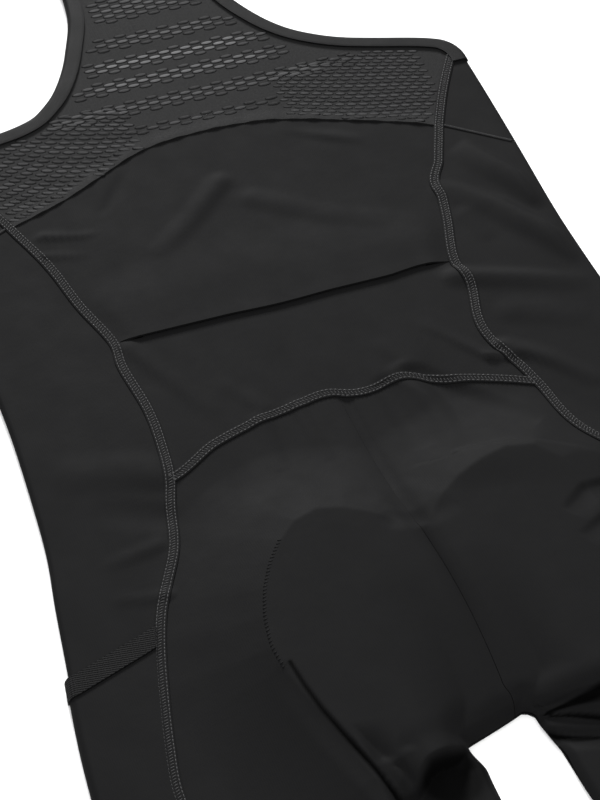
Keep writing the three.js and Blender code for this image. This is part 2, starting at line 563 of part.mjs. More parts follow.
// Seat pad, folded at the crotch: one rounded body between the front and the seat
const PAD_BODY = {
  centre: [0, 66], rings: [1, 0.97, 0.9, 0.78, 0.6, 0.4, 0.2], inset: 0.9, base: 0.87,
  clearance: 1.2, search: [6, 12], edgeRise: 0.6, least: 1.2,
};
function padGeometry() {
  const { centre, rings, inset } = PAD_BODY;
  const floorZ = FRONT_TOP_Z + SEAM_GAP;
  const lowest = (x, y) => {
    const around = steps(16).flatMap((t) => PAD_BODY.search.map((reach) => coverHeight(
      x + reach * Math.cos(2 * Math.PI * t), y + reach * Math.sin(2 * Math.PI * t))));
    return Math.min(coverHeight(x, y), ...around) - WALL / 2 - PAD_BODY.clearance;
  };
  const positions = [];
  const add = (x, y, z) => positions.push(...settled(x, y), z) / 3 - 1;
  const spokeAt = ([x, y], scale) => [mix(centre[0], x, scale), mix(centre[1], y, scale)];
  const ringPoints = rings.map((scale, index) => padOutline.map((spoke) => {
    const [x, y] = spokeAt(spoke, scale * inset);
    const top = index === 0 ? PAD_BODY.edgeRise : Math.max(lowest(x, y) - floorZ, PAD_BODY.least);
    return add(x, y, floorZ + top);
  }));
  const topMiddle = add(...centre, lowest(...centre));
  const base = padOutline.map((spoke) => add(...spokeAt(spoke, PAD_BODY.base), floorZ));
  const baseMiddle = add(...centre, floorZ);
  const triangles = [];
  padOutline.forEach((_, i) => {
    const j = (i + 1) % padOutline.length;
    ringPoints.slice(0, -1).forEach((ring, k) => {
      const inner = ringPoints[k + 1];
      triangles.push(ring[i], inner[i], inner[j], ring[i], inner[j], ring[j]);
    });
    const inmost = ringPoints[ringPoints.length - 1];
    triangles.push(inmost[i], topMiddle, inmost[j]);
    triangles.push(ringPoints[0][i], ringPoints[0][j], base[j], ringPoints[0][i], base[j], base[i]);
    triangles.push(base[i], base[j], baseMiddle);
  });
  const geometry = new THREE.BufferGeometry();
  geometry.setAttribute('position', new THREE.Float32BufferAttribute(positions, 3));
  geometry.setIndex(triangles);
  geometry.computeVertexNormals();
  return geometry;
}

// Finishes
const FINISH = {
  jersey: { color: 0x2b2b2c, roughness: 0.62, metalness: 0 },
  net: { color: 0x3d3d3e, roughness: 0.55, metalness: 0 },
  binding: { color: 0x303031, roughness: 0.5, metalness: 0 },
  elastic: { color: 0x262626, roughness: 0.8, metalness: 0 },
  padding: { color: 0x3a3b40, roughness: 0.9, metalness: 0 },
};

const garment = new THREE.Group();
garment.position.y = -(HEM_Y + SHOULDER_Y) / 2;
function addPiece(name, geometry, finish) {
  const mesh = new THREE.Mesh(geometry, new THREE.MeshStandardMaterial(FINISH[finish]));
  mesh.name = name;
  garment.add(mesh);
}

addPiece('yoke_mesh', wallOver(yokeRows()), 'net');
addPiece('back_panel', wallOver(upperRows), 'jersey');
addPiece('pocket_panel', wallOver([...pocketRows, tongueRow]), 'jersey');
addPiece('neck_binding', bindingOver(neckPath(), -1), 'binding');
addPiece('seat_pad', padGeometry(), 'padding');
for (const [name, side] of [['left', -1], ['right', 1]]) {
  const flip = side < 0;
  addPiece(`seat_${name}`, wallOver(seatRows(side), { flip }), 'jersey');
  addPiece(`side_panel_${name}`, wallOver(sideRows(side), { flip }), 'jersey');
  addPiece(`gusset_${name}`, wallOver(gussetRows(side), { flip }), 'jersey');
  addPiece(`thigh_pocket_${name}`, wallOver(thighPocketRows(side), { lift: LAYER_STEP, flip }), 'jersey');
  addPiece(`pocket_band_${name}`, wallOver(bandRows(side), {
    wall: POCKET_BAND.wall, lift: LAYER_STEP + (POCKET_BAND.wall - WALL) / 2, flip,
  }), 'elastic');
  addPiece(`armhole_binding_${name}`, bindingOver(armholePath(side), side), 'binding');
  addPiece(`leg_band_${name}`, wallOver(legBandRows(side), { closed: true, flip }), 'elastic');
  addPiece(`front_${name}`, plate(frontOutline(side)), 'jersey');
  addPiece(`front_strap_${name}`, plate(strapOutline(side)), 'jersey');
}

export default garment;
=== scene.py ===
"""Cycling bib shorts laid flat with the back side up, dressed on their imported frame."""
import math

import bpy
import numpy as np
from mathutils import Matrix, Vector


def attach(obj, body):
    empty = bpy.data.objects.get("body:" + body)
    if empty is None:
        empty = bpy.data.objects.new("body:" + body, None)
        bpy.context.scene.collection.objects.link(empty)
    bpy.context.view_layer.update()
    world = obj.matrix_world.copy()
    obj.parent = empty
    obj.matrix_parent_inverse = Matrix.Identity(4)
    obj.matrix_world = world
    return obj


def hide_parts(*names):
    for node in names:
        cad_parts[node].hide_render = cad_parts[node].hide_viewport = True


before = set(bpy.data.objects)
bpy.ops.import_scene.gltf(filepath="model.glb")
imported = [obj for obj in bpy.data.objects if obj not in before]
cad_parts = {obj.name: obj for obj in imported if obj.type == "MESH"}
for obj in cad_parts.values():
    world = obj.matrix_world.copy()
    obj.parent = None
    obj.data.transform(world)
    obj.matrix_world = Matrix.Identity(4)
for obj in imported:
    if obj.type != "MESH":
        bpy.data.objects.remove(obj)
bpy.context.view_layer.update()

bl_info = {
    "name": "Bib Shorts Laid Flat",
    "version": (1, 0, 0),
    "blender": (4, 5, 0),
    "location": "View3D > Sidebar > Bib Shorts",
    "description": "Makes the cloth, seams and net of bib shorts on their frame",
    "category": "Object",
}

# The garment's own sizes, in millimetres: x from the midline, y from the crotch to the shoulders
MM = 0.001
WALL = 1.2
SEAM_GAP = 0.3
HALF_GAP = SEAM_GAP / 2
FOLD_RADIUS = 2.1
HEM_Y = -240
LEG_BAND_TOP_Y = -180
SHOULDER_Y = 700
CROTCH_Y = 4
CROTCH_CORNER = 3
WAIST_Y = 234
WAIST_DIP = 26
SLIT_Y = 307
YOKE_Y = 454
YOKE_DIP = 40
GUSSET_DIP = 25
FRONT_LAP = 30
LEAN = 10
LEAN_FROM_Y = 310
LEAN_TO_Y = 520
FOLD_Z = WALL / 2 + FOLD_RADIUS
COVER_Z = WALL / 2 + 2 * FOLD_RADIUS
LAYER_STEP = WALL + SEAM_GAP
EDGE_Z = WALL + SEAM_GAP + WALL / 2
STRAP_FOLD_Y = SHOULDER_Y - WALL / 2 - FOLD_RADIUS
ORIGIN_Y = (HEM_Y + SHOULDER_Y) / 2
WAIST_HALF = 97
YOKE_HALF = 122
YOKE_SIDE_Y = YOKE_Y - YOKE_DIP
GUSSET_HEM_Y = YOKE_SIDE_Y - GUSSET_DIP
ARMPIT_Y = 472
GUSSET_TOP_Y = 469.5
ARMHOLE_BEND_Y = 500
STRAPS_Y = 636
SIDES = (("left", -1), ("right", 1))


def mix(low, high, t):
    return low + (high - low) * t


def smooth(t):
    s = np.clip(t, 0, 1)
    return s * s * (3 - 2 * s)


def through_rows(*rows):
    """A smooth curve through (place, value) rows, flat past both ends."""
    keys, values = np.array(rows, float).T
    before = np.r_[0, np.arange(len(keys) - 1)]
    after = np.r_[np.arange(1, len(keys)), len(keys) - 1]
    slopes = (values[after] - values[before]) / (keys[after] - keys[before])

    def at(place):
        place = np.clip(place, keys[0], keys[-1])
        i = np.clip(np.searchsorted(keys, place) - 1, 0, len(keys) - 2)
        span = keys[i + 1] - keys[i]
        t = (place - keys[i]) / span
        start = values[i] * (1 + 2 * t) * (1 - t) ** 2 + slopes[i] * span * t * (1 - t) ** 2
        end = values[i + 1] * (3 - 2 * t) * t**2 - slopes[i + 1] * span * (1 - t) * t**2
        return start + end

    return at


# Half widths and seam places: (y, x)
side_edge = through_rows(
    (-240, 182), (-180, 188), (-120, 193), (-50, 195), (0, 193), (29, 190.5), (64, 186.5), (108, 179.5),
    (146, 173.5), (174, 168.5), (200, 165.5), (260, 161), (300, 160), (380, 159.5), (470, 156))
princess_seam = through_rows(
    (-240, 158), (-120, 160), (17, 155.5), (45, 150.5), (74, 143.5), (103, 135.5), (124, 128), (138, 121),
    (160, 110), (188, 102.5), (210, 97), (234, 93), (257, 92), (290, 94.5), (307, 93), (340, 101.5),
    (373, 108.5), (414, 122))
gusset_seam = through_rows((414, 122), (429, 128), (445, 135), (461, 143), (472, 149))
leg_inner = through_rows((-240, 26), (-150, 23), (-50, 19.5), (-2, 19))
armhole = {
    -1: through_rows(
        (472, 149), (480, 143), (485, 127), (489, 105), (494, 90), (499, 83.5), (511, 72.5), (531, 60.5),
        (552, 51.5), (574, 43.5), (598, 39.5), (620, 38.5), (636, 41)),
    1: through_rows(
        (472, 149), (480, 149.5), (486, 145), (492, 131), (498, 114), (506, 93.5), (518, 75), (530, 63.5),
        (546, 54), (566, 46), (598, 39.5), (620, 38.5), (636, 41)),
}
NECK_BOTTOM_Y = 650
NECK_CORNER = (20, 661)
# The straps' two edges by strap length, from the scoop's corner to the shoulder fold
STRAP_INNER = ((20, 661), (27, 673), (34, 685), (42, STRAP_FOLD_Y))
STRAP_OUTER = ((47, 650), (57, 664), (68, 680), (80, STRAP_FOLD_Y))

# The seat panels' rows: where the finer ones begin, where the leg's edge becomes the gap's corner, and
# the pad's notch, above which the two panels close up
FINE_FROM_Y = -40
LEG_END_Y = -14
PAD_NOTCH_Y = 128
CLOSED_HALF_GAP = HALF_GAP / 5
# The seat panel's outer end for each place along its inner edge, and the place where the centre seam starts
OUTER_ALONG = through_rows(
    (0, LEG_END_Y), (12, -8), (16.7, 1), (21.4, 8), (27.9, 14), (34.25, 21), (44.25, 29), (56.25, 37),
    (68.25, 46))
CENTRE_STARTS = 34.25
# Further up, the rows' outer ends are lifted at first and then dip towards the waist seam
HIP = {"from_y": 38, "fade": 50, "lift": 8, "dip_from_y": 46}
# Within this strip the seat's columns follow its inner edge, and get closer away from it
EDGE_STRIP = {"width": 16, "cell": 1.4, "pull": 1.4}
# From the edge strip outwards, the columns are closer where the deep creases run
COLUMN_SHARES = ((0, 0.23, 0.65, 1), (0, 0.29, 0.56, 1))
# From this row up, a row is bent instead of straight
BEND = {"from_y": 26, "fade": 60}

# The deep crease beside the pad's left lobe, down to the leg
LEG_CREASE = (
    (-67, -24), (-69.8, -15.7), (-74.2, -0.2), (-78.1, 14.7), (-82.4, 32.5), (-84.9, 47.9), (-86.4, 63.8))
# The bright upper edge of the pad's right lobe
LOBE_EDGE = ((39.3, 164.7), (47.7, 163.5), (59.9, 161.3), (76.0, 155.7), (92.1, 149.8), (105.2, 142.0))

# Ridges and troughs of the upper layer, from their strong end: path in plan, reach (one for both
# sides, or one to the left of the path and one to its right) and height
FOLDS = (
    (((157, 345), (143, 371), (129, 396)), (16, 6.5), 3.5),
    (((159, 297), (147, 318), (132, 342), (108, 369)), (16, 6.5), 3.5),
    (((90, 297), (118, 286), (154, 270)), (7, 12), 2),
    (((96, 238), (112, 219), (128, 196)), 7, 2),
    (((84, 233), (102, 229)), 4.5, 1.4),
    (((110, 262), (142, 244)), 12, 0.9),
    (((112, 340), (118, 318)), 8, 0.8),
    (((42, 232), (64, 204), (86, 176)), 11, -2),
    (((38, 236), (42, 205), (40, 172)), 9, 1.4),
    (((24, 230), (26, 180)), 9, -1.3),
    (((-22, 233), (-20, 190)), 6, 0.7),
    (((-42, 229), (-46, 190)), 8, 0.9),
    (((3, 228), (3, 150)), 5, -0.9),
    (((-104, 214), (-128, 222), (-152, 228)), 16, 1.4),
    (((-116, 165), (-144, 160)), 6, 0.8),
    (((-122, 132), (-148, 138)), 5, 0.7),
    (((-110, 182), (-138, 198)), 12, -0.9),
    (((-87, 302), (-76, 275), (-61, 240)), 7, 1.1),
    (((-38, 237), (-52, 264)), 6, 0.7),
    (((85, 233), (74, 250), (58, 270)), 6, 1),
    (((42, 238), (34, 264)), 7, 0.8),
    (((-6, 410), (-28, 387), (-54, 364)), 9, 1.5),
    (((8, 392), (38, 368), (74, 349)), 10, 1),
    (((40, 443), (62, 430), (78, 420)), 6, 1.4),
    (((-107, 403), (-80, 394)), 5, 1.1),
    (((-109, 384), (-88, 377)), 4, 0.8),
    (((-55, 439), (-64, 424), (-71, 412)), 6, -0.9),
    (LOBE_EDGE, (6, 30), 1.7),
    (((112, 128), (84, 119), (70, 108)), (12, 5), -2.2),
    (((110, 103), (84, 97), (70, 90)), (12, 5), -1.8),
    (((-9, 132), (6, 129), (22, 133)), 9, -0.9),
    (((0, 122), (0, 12)), 2.6, -0.9),
    (LEG_CREASE, (12, 1.8), -1.9),
    (((-66, -6), (-60, -26)), 6, 1),
    (((-55, -5), (-54, -21)), 6, 0.9),
    (((-61, -8), (-57, -24)), 3, -1.5),
    (((22, 6), (34, 6), (64, 3)), (2.2, 9), -2.6),
    (((22, 2), (34, -3), (58, -12)), (1.8, 7), -1.6),
    (((18, -6), (28, -10), (48, -16)), (2.4, 12), -3),
    (((-31, -12), (-38, -44)), 10, -2.5),
)
# Folds die out by the side folds and towards the yoke
CALM = {"side": 8, "from_y": 425, "fade": 20}
# The upper layer's edge at the leg gap turns down within this reach, and wider where it stands higher
EDGE_TURN = {"reach": 4, "per_rise": 0.25}
PAD = {"rise": 12.5, "groove": 1.6, "groove_reach": 9, "ramp": 55, "pull": 1.6}
# The slow fall from the pad starts at this row and at this distance from the midline
PAD_RAMP = {"from_y": -8, "fade_y": 28, "from_x": 62, "fade_x": 12}
# Below, the pad's rise is part wall and part bevel, and near the given place all wall
PAD_WALL = {"x": -40, "y": -8, "reach": 34, "least": 0.35, "width": 3.4, "bevel": 24}
# By the crotch the cloth lies lower: the least share of its rise, and how far up and across that eases
CROTCH_EASE = {"least": 0.24, "up": 100, "within_x": 19, "across": 28, "pull": 1.6}
PAD_HALF = (
    (0, 122), (8, 130), (18, 140), (30, 148), (42, 151), (54, 147), (65, 137), (74, 125), (82, 110),
    (88, 93), (91, 75), (90, 62), (87, 48), (83, 30), (79, 12), (74, -12), (69, -25), (58, -24), (46, -12),
    (28, -7), (19, -2), (13, CROTCH_Y), (0, CROTCH_Y))

# Places where the lying cloth has slid: x, y, reach, and the slide in x and y
SLIDES = (
    (0, 70, 90, 3.7, 0),
    (0, -30, 60, -4, 0),
    (4, 4, 22, 5, 7),
    (19, 4, 24, -7.5, 3),
    (-19, 4, 20, -5, -1),
    (-88, 434, 60, 0, -9),
    (75, 437, 50, 0, -3),
    (37, 231, 22, 0, 4),
    (12, 234, 16, 0, -3),
    (-8, 235, 16, 0, 2),
    (-92, 211, 26, 0, -4),
    (107, 372, 16, -3, 0),
    (92, 254, 38, -5, 0),
    (105, 176, 32, -4, 0),
    (76, 308, 22, 0, 2),
    (-4, 307, 30, 0, -1),
)
# The rear pocket's mouth: the tongue of pocket cloth under the back panel, and the panel's lifted lip
MOUTH = {"tongue": 24, "tongue_cell": 4, "fade": 42, "side": 14, "lip": 0.12, "lip_reach": 5}
# Painted shade where doubled cloth keeps the light out: a path, and the half width at its two ends
PAINTED_CREASE_SHADE = (
    (LEG_CREASE, 1.6, 1.1),
    (((41.6, 4.9), (31.5, 4.1), (21.6, 2.3)), 2.6, 0.5),
    (((38.3, -5.0), (30.1, -0.9), (23.5, 1.7)), 1.6, 0.5),
    (((19.4, -8.1), (25.7, -12.5), (34.3, -15.2)), 2.6, 1.2),
)
# A crease's painted shade is full out to this share of its half width
PAINTED_SHADE_CORE = 0.4
# Painted shadow from the pad on the cloth beside the leg gap, which ends at the pad's edge
PAINTED_LEG_SHADOW = {"x": -37, "y": -13, "reach": 25, "strength": 2, "most": 0.8, "edge": 1.5, "fade": 2}


def lean_at(y):
    return LEAN * smooth((y - LEAN_FROM_Y) / (LEAN_TO_Y - LEAN_FROM_Y))


def bump(t):
    return (1 - np.minimum(t, 1) ** 2) ** 2


def pushed(x, y, pushes):
    """Plan places moved by soft local slides."""
    moved_x, moved_y = x, y
    for centre_x, centre_y, reach, slide_x, slide_y in pushes:
        share = bump(np.hypot(x - centre_x, y - centre_y) / reach)
        moved_x = moved_x + slide_x * share
        moved_y = moved_y + slide_y * share
    return moved_x, moved_y


# The pad lies askew: its right lobe is pushed up and out, and its right lower edge up
PAD_PUSH = ((80, 140, 50, 9, 22), (36, -8, 40, 0, 13))
PAD_RIGHT = tuple(pushed(x, y, PAD_PUSH) for x, y in PAD_HALF[1:-1])
PAD_OUTLINE = PAD_HALF[:1] + PAD_RIGHT + PAD_HALF[-1:] + tuple((-x, y) for x, y in PAD_HALF[-2:0:-1])
PAD_EDGE = PAD_OUTLINE + PAD_OUTLINE[:1]


def nearest_on_path(path, x, y):
    """Distance to a path, the share of its length at the nearest place, and whether it lies left of it."""
    path = np.array(path, float)
    spans = np.hypot(*np.diff(path, axis=0).T)
    nearest = np.full(np.shape(x), np.inf)
    share = np.zeros(np.shape(x))
    is_left = np.zeros(np.shape(x), bool)
    for (ax, ay), (bx, by), span, before in zip(path, path[1:], spans, np.cumsum(spans) - spans):
        t = np.clip(((x - ax) * (bx - ax) + (y - ay) * (by - ay)) / span**2, 0, 1)
        distance = np.hypot(x - mix(ax, bx, t), y - mix(ay, by, t))
        left_of_it = (bx - ax) * (y - ay) > (by - ay) * (x - ax)
        share = np.where(distance < nearest, (before + t * span) / spans.sum(), share)
        is_left = np.where(distance < nearest, left_of_it, is_left)
        nearest = np.minimum(nearest, distance)
    return nearest, share, is_left


def is_inside(outline, x, y):
    inside = np.zeros(np.shape(x), bool)
    for (ax, ay), (bx, by) in zip(outline, outline[1:] + outline[:1]):
        if ay != by:
            inside ^= ((ay > y) != (by > y)) & (x < ax + (y - ay) * (bx - ax) / (by - ay))
    return inside


def gap_distance(x, y):
    """Distance from the edge of the gap between the legs, whose top corners are round."""
    across = np.abs(x) - leg_inner(y) + CROTCH_CORNER
    along = y - CROTCH_Y + CROTCH_CORNER
    return np.hypot(np.maximum(across, 0), np.maximum(along, 0)) - CROTCH_CORNER


def fold_height(x, y):
    total = np.zeros(np.shape(x))
    for path, reach, height in FOLDS:
        distance, share, is_left = nearest_on_path(path, x, y)
        left_reach, right_reach = np.broadcast_to(reach, 2)
        reach_there = np.where(is_left, left_reach, right_reach)
        total = total + height * np.sqrt(1 - share) * bump(distance / reach_there)
    return total


def pad_height(x, y):
    """The cloth over the pad: steep below, and above falling slowly from the pad's edge."""
    distance = nearest_on_path(PAD_EDGE, x, y)[0]
    inside = is_inside(PAD_OUTLINE, x, y)
    groove = PAD["groove"] * (1 - smooth(np.abs(x) / PAD["groove_reach"]))
    wall = mix(PAD_WALL["least"], 1, bump(np.hypot(x - PAD_WALL["x"], y - PAD_WALL["y"]) / PAD_WALL["reach"]))
    steep = mix(smooth(distance / PAD_WALL["bevel"]), smooth(distance / PAD_WALL["width"]), wall) * inside
    ramped = np.where(inside, 1, (1 - np.minimum(distance / PAD["ramp"], 1)) ** PAD["pull"])
    above = np.maximum(
        smooth((y - PAD_RAMP["from_y"]) / PAD_RAMP["fade_y"]),
        smooth((np.abs(x) - PAD_RAMP["from_x"]) / PAD_RAMP["fade_x"]))
    below = np.clip(1 - (y - CROTCH_Y) / CROTCH_EASE["up"], 0, 1) ** CROTCH_EASE["pull"]
    beside = np.clip(1 - (np.abs(x) - CROTCH_EASE["within_x"]) / CROTCH_EASE["across"], 0, 1)
    ease = 1 - (1 - CROTCH_EASE["least"]) * below * beside ** CROTCH_EASE["pull"]
    return (PAD["rise"] - groove) * ease * mix(steep, ramped, above)


def fold_start(y):
    """The half width at which the side fold begins to turn."""
    return side_edge(y) - WALL / 2 - FOLD_RADIUS


def cover_height(x, y):
    """Middle of the upper layer over a plan place, before the lean."""
    to_fold = fold_start(y) - np.abs(x)
    calm = smooth(to_fold / CALM["side"]) * (1 - smooth((y - CALM["from_y"]) / CALM["fade"]))
    full = COVER_Z + fold_height(x, y) * calm + pad_height(x, y)
    near = np.maximum(gap_distance(x, y), 0)
    turn = EDGE_TURN["reach"] + EDGE_TURN["per_rise"] * (full - COVER_Z)
    arch = np.sqrt(np.maximum(1 - (1 - np.minimum(near / turn, 1)) ** 2, 0))
    return EDGE_Z + (full - EDGE_Z) * arch


def painted_shade_at(x, y):
    """How much painted shade the cloth gets where the folds and the pad keep the light from it, from 0 to 1.
    """
    away = np.hypot(x - PAINTED_LEG_SHADOW["x"], y - PAINTED_LEG_SHADOW["y"])
    shade = PAINTED_LEG_SHADOW["strength"] * bump(away / PAINTED_LEG_SHADOW["reach"])
    from_pad = nearest_on_path(PAD_EDGE, x, y)[0]
    past_edge = smooth((from_pad - PAINTED_LEG_SHADOW["edge"]) / PAINTED_LEG_SHADOW["fade"])
    off_pad = np.where(is_inside(PAD_OUTLINE, x, y), 1 - past_edge, 1)
    shade = np.minimum(shade, PAINTED_LEG_SHADOW["most"]) * off_pad
    for path, from_half, to_half in PAINTED_CREASE_SHADE:
        distance, share, _ = nearest_on_path(path, x, y)
        half = mix(from_half, to_half, share)
        shade = np.maximum(shade, 1 - smooth(distance / half - PAINTED_SHADE_CORE))
    return shade


def on_cover(x, y):
    """Points of the upper layer and the way its outer face looks, as two (..., 3) arrays."""
    x, y = np.broadcast_arrays(np.asarray(x, float), np.asarray(y, float))
    step = 0.5
    slope_x = (cover_height(x + step, y) - cover_height(x - step, y)) / (2 * step)
    slope_y = (cover_height(x, y + step) - cover_height(x, y - step)) / (2 * step)
    out = np.stack([-slope_x, -slope_y, np.ones_like(slope_x)], -1)
    out /= np.linalg.norm(out, axis=-1, keepdims=True)
    return np.stack([x, y, cover_height(x, y)], -1), out


def on_arc(side, centre_x, y, angle):
    """Places round a fold that runs along Y, by their angle above the level."""
    angle, centre_x, y = np.broadcast_arrays(angle, centre_x, y)
    out = np.stack([side * np.cos(angle), 0 * angle, np.sin(angle)], -1)
    centre = np.stack([side * centre_x, y, np.full(y.shape, FOLD_Z)], -1)
    return centre + FOLD_RADIUS * out, out


def on_level(x, y, z, way):
    """Places of flat cloth whose outer face looks up or down."""
    x, y = np.broadcast_arrays(np.asarray(x, float), np.asarray(y, float))
    out = np.zeros(x.shape + (3,))
    out[..., 2] = way
    return np.stack([x, y, np.full(x.shape, z)], -1), out


def to_metres(points):
    """Garment places as object coordinates, with the cloth's slides and the top's lean."""
    points = np.array(points, float)
    points[..., 0], points[..., 1] = pushed(points[..., 0], points[..., 1], SLIDES)
    points[..., 0] += lean_at(points[..., 1])
    points[..., 1] -= ORIGIN_Y
    return points * MM


# Finishes

class Value:
    """A socket of a material's tree that can be used in sums."""

    def __init__(self, finish, socket):
        self.finish = finish
        self.socket = socket

    def _sum(self, operation, first, second=None):
        inputs = {0: first} if second is None else {0: first, 1: second}
        return self.finish.node("ShaderNodeMath", {"operation": operation}, inputs)

    def __add__(self, other):
        return self._sum("ADD", self, other)

    __radd__ = __add__

    def __sub__(self, other):
        return self._sum("SUBTRACT", self, other)

    def __rsub__(self, other):
        return self._sum("SUBTRACT", other, self)

    def __mul__(self, other):
        return self._sum("MULTIPLY", self, other)

    __rmul__ = __mul__

    def sine(self):
        return self._sum("SINE", self)


class Finish:
    """A material whose nodes are added one call at a time."""

    def __init__(self, name):
        self.material = bpy.data.materials.new(name)
        self.material.use_nodes = True
        self.tree = self.material.node_tree
        self.shader = self.tree.nodes["Principled BSDF"]

    def node(self, kind, settings=None, inputs=None, output=0):
        made = self.tree.nodes.new(kind)
        for key, value in (settings or {}).items():
            setattr(made, key, value)
        for key, value in (inputs or {}).items():
            self.link(value, made.inputs[key])
        return Value(self, made.outputs[output])

    def link(self, value, socket):
        if isinstance(value, Value):
            self.tree.links.new(value.socket, socket)
        else:
            socket.default_value = value

    def place(self):
        return self.node("ShaderNodeTexCoord", output="Object")

    def axis(self, name):
        return self.node("ShaderNodeSeparateXYZ", inputs={0: self.place()}, output=name)

    def attribute(self, name):
        return self.node("ShaderNodeAttribute", {"attribute_name": name}, output="Fac")

    def noise(self, scale, detail=2.0):
        return self.node("ShaderNodeTexNoise", inputs={
            "Vector": self.place(), "Scale": scale, "Detail": detail, "Roughness": 0.5})

    def between(self, amount, low, high):
        """A colour between two given ones."""
        return self.node("ShaderNodeMix", {"data_type": "RGBA"}, {0: amount, 6: low, 7: high}, output=2)

    def bump(self, height, distance, strength=1.0):
        return self.node("ShaderNodeBump", inputs={
            "Height": height, "Distance": distance, "Strength": strength})

    def set(self, **values):
        for name, value in values.items():
            self.link(value, self.shader.inputs[name.replace("_", " ")])


# Painted light: the pale colour that glowing net cells take, for the lit floor seen through the net's holes
PAINTED_GLOW_COLOUR = (0.11, 0.11, 0.112, 1)


def toned(colour, factor=1.0):
    """The colour as a socket takes it, darker or paler by a factor."""
    return tuple(channel * factor for channel in colour[:3]) + (1.0,)


def knit_height(finish, pitch):
    """Fine columns of loops, their pitch in metres."""
    x = finish.axis("X")
    y = finish.axis("Y")
    across = (x * (2 * math.pi / pitch)).sine()
    along = (y * (2 * math.pi / (pitch * 0.8)) + across * 1.2).sine()
    return across * 0.5 + along * 0.5


def jersey_finish(settings):
    finish = Finish("jersey_finish")
    cloudy = finish.noise(9.0, 3.0)
    lint = finish.noise(900.0, 1.0)
    lit = finish.between(
        cloudy * 0.7 + lint * 0.3, toned(settings.jersey_colour, 0.8), toned(settings.jersey_colour, 1.25))
    # Painted shade: the shade attribute darkens the colour nearly to black in creases and beside the leg gap
    colour = finish.between(finish.attribute("shade"), lit, toned(settings.jersey_colour, 0.04))
    height = knit_height(finish, 0.0011) * 0.25 + finish.noise(260.0, 2.0)
    finish.set(
        Base_Color=colour, Roughness=finish.noise(60.0) * 0.12 + 0.62, Specular_IOR_Level=0.018,
        Normal=finish.bump(height, 0.00009, 0.6))
    return finish.material


def net_finish(settings):
    finish = Finish("net_finish")
    grain = finish.noise(700.0, 2.0)
    height = knit_height(finish, 0.0013) * 0.3 + grain
    colour = finish.between(
        finish.noise(14.0, 3.0), toned(settings.net_colour, 0.85), toned(settings.net_colour, 1.2))
    finish.set(
        Base_Color=colour, Roughness=grain * 0.15 + 0.6, Specular_IOR_Level=0.025,
        Normal=finish.bump(height, 0.00012, 0.7))
    return finish.material


def net_cell_finish(settings):
    """Thin cells painted pale by their glow: painted light for the lit floor seen through the net's holes and
    for the cells' highlights.
    """
    finish = Finish("net_cell_finish")
    rib = (finish.axis("Y") * (2 * math.pi / 0.0008)).sine()
    glow = finish.attribute("glow")
    uneven = (finish.noise(400.0, 2.0) - 0.5) * 0.1
    colour = finish.between(glow + uneven, toned(settings.net_colour), PAINTED_GLOW_COLOUR)
    finish.set(
        Base_Color=colour, Roughness=finish.noise(300.0) * 0.15 + 0.6, Specular_IOR_Level=0.025,
        Normal=finish.bump(rib, 0.00005, 0.6))
    return finish.material


def net_gap_finish(settings):
    """The rims between cells, with painted shade that is darkest where the cells glow."""
    finish = Finish("net_gap_finish")
    glow = finish.attribute("glow")
    colour = finish.between(glow * 1.6, toned(settings.net_colour), toned(settings.net_colour, 0.15))
    finish.set(
        Base_Color=colour, Roughness=finish.noise(300.0) * 0.1 + 0.7, Specular_IOR_Level=0.02,
        Normal=finish.bump(finish.noise(700.0, 2.0), 0.0001, 0.5))
    return finish.material


def binding_finish(settings):
    finish = Finish("binding_finish")
    rib = knit_height(finish, 0.0009)
    colour = finish.between(
        finish.noise(30.0, 2.0), toned(settings.jersey_colour, 0.8), toned(settings.jersey_colour, 1.1))
    finish.set(
        Base_Color=colour, Roughness=finish.noise(80.0) * 0.1 + 0.55, Specular_IOR_Level=0.024,
        Normal=finish.bump(rib, 0.00006, 0.6))
    return finish.material


def elastic_finish(settings):
    """Textured elastic: short raised ribs in a broken twill."""
    finish = Finish("elastic_finish")
    x = finish.axis("X")
    y = finish.axis("Y")
    twill = (x * 2600 + y * 2100).sine()
    counter = (x * 1900 - y * 2900).sine()
    height = twill * counter + finish.noise(900.0, 2.0) * 0.8
    # Painted light and shade: lighter on the raised ribs, darker in the hollows between them
    colour = finish.between(
        height * 0.3 + 0.3, toned(settings.jersey_colour, 0.5), toned(settings.jersey_colour, 1.3))
    finish.set(
        Base_Color=colour, Roughness=finish.noise(300.0) * 0.1 + 0.7, Specular_IOR_Level=0.05,
        Normal=finish.bump(height, 0.0003, 0.9))
    return finish.material


def thread_finish(settings):
    finish = Finish("thread_finish")
    ply = (finish.axis("X") * 9000 + finish.axis("Y") * 9000).sine()
    colour = finish.between(
        finish.noise(500.0), toned(settings.thread_colour, 0.8), toned(settings.thread_colour, 1.25))
    finish.set(
        Base_Color=colour, Roughness=ply * 0.05 + 0.5, Specular_IOR_Level=0.1,
        Normal=finish.bump(ply, 0.00004, 0.5))
    return finish.material


def padding_finish(settings):
    finish = Finish("padding_finish")
    height = finish.noise(500.0, 3.0) + knit_height(finish, 0.0015)
    colour = finish.between(finish.noise(20.0, 2.0), (0.03, 0.031, 0.036, 1), (0.05, 0.052, 0.06, 1))
    finish.set(
        Base_Color=colour, Roughness=finish.noise(90.0) * 0.1 + 0.8, Sheen_Weight=0.2,
        Normal=finish.bump(height, 0.0001, 0.6))
    return finish.material


def floor_finish():
    finish = Finish("studio_floor_finish")
    finish.set(
        Base_Color=finish.between(finish.noise(3.0), (0.88, 0.88, 0.88, 1), (0.9, 0.9, 0.9, 1)),
        Roughness=0.8, Specular_IOR_Level=0.1)
    return finish.material


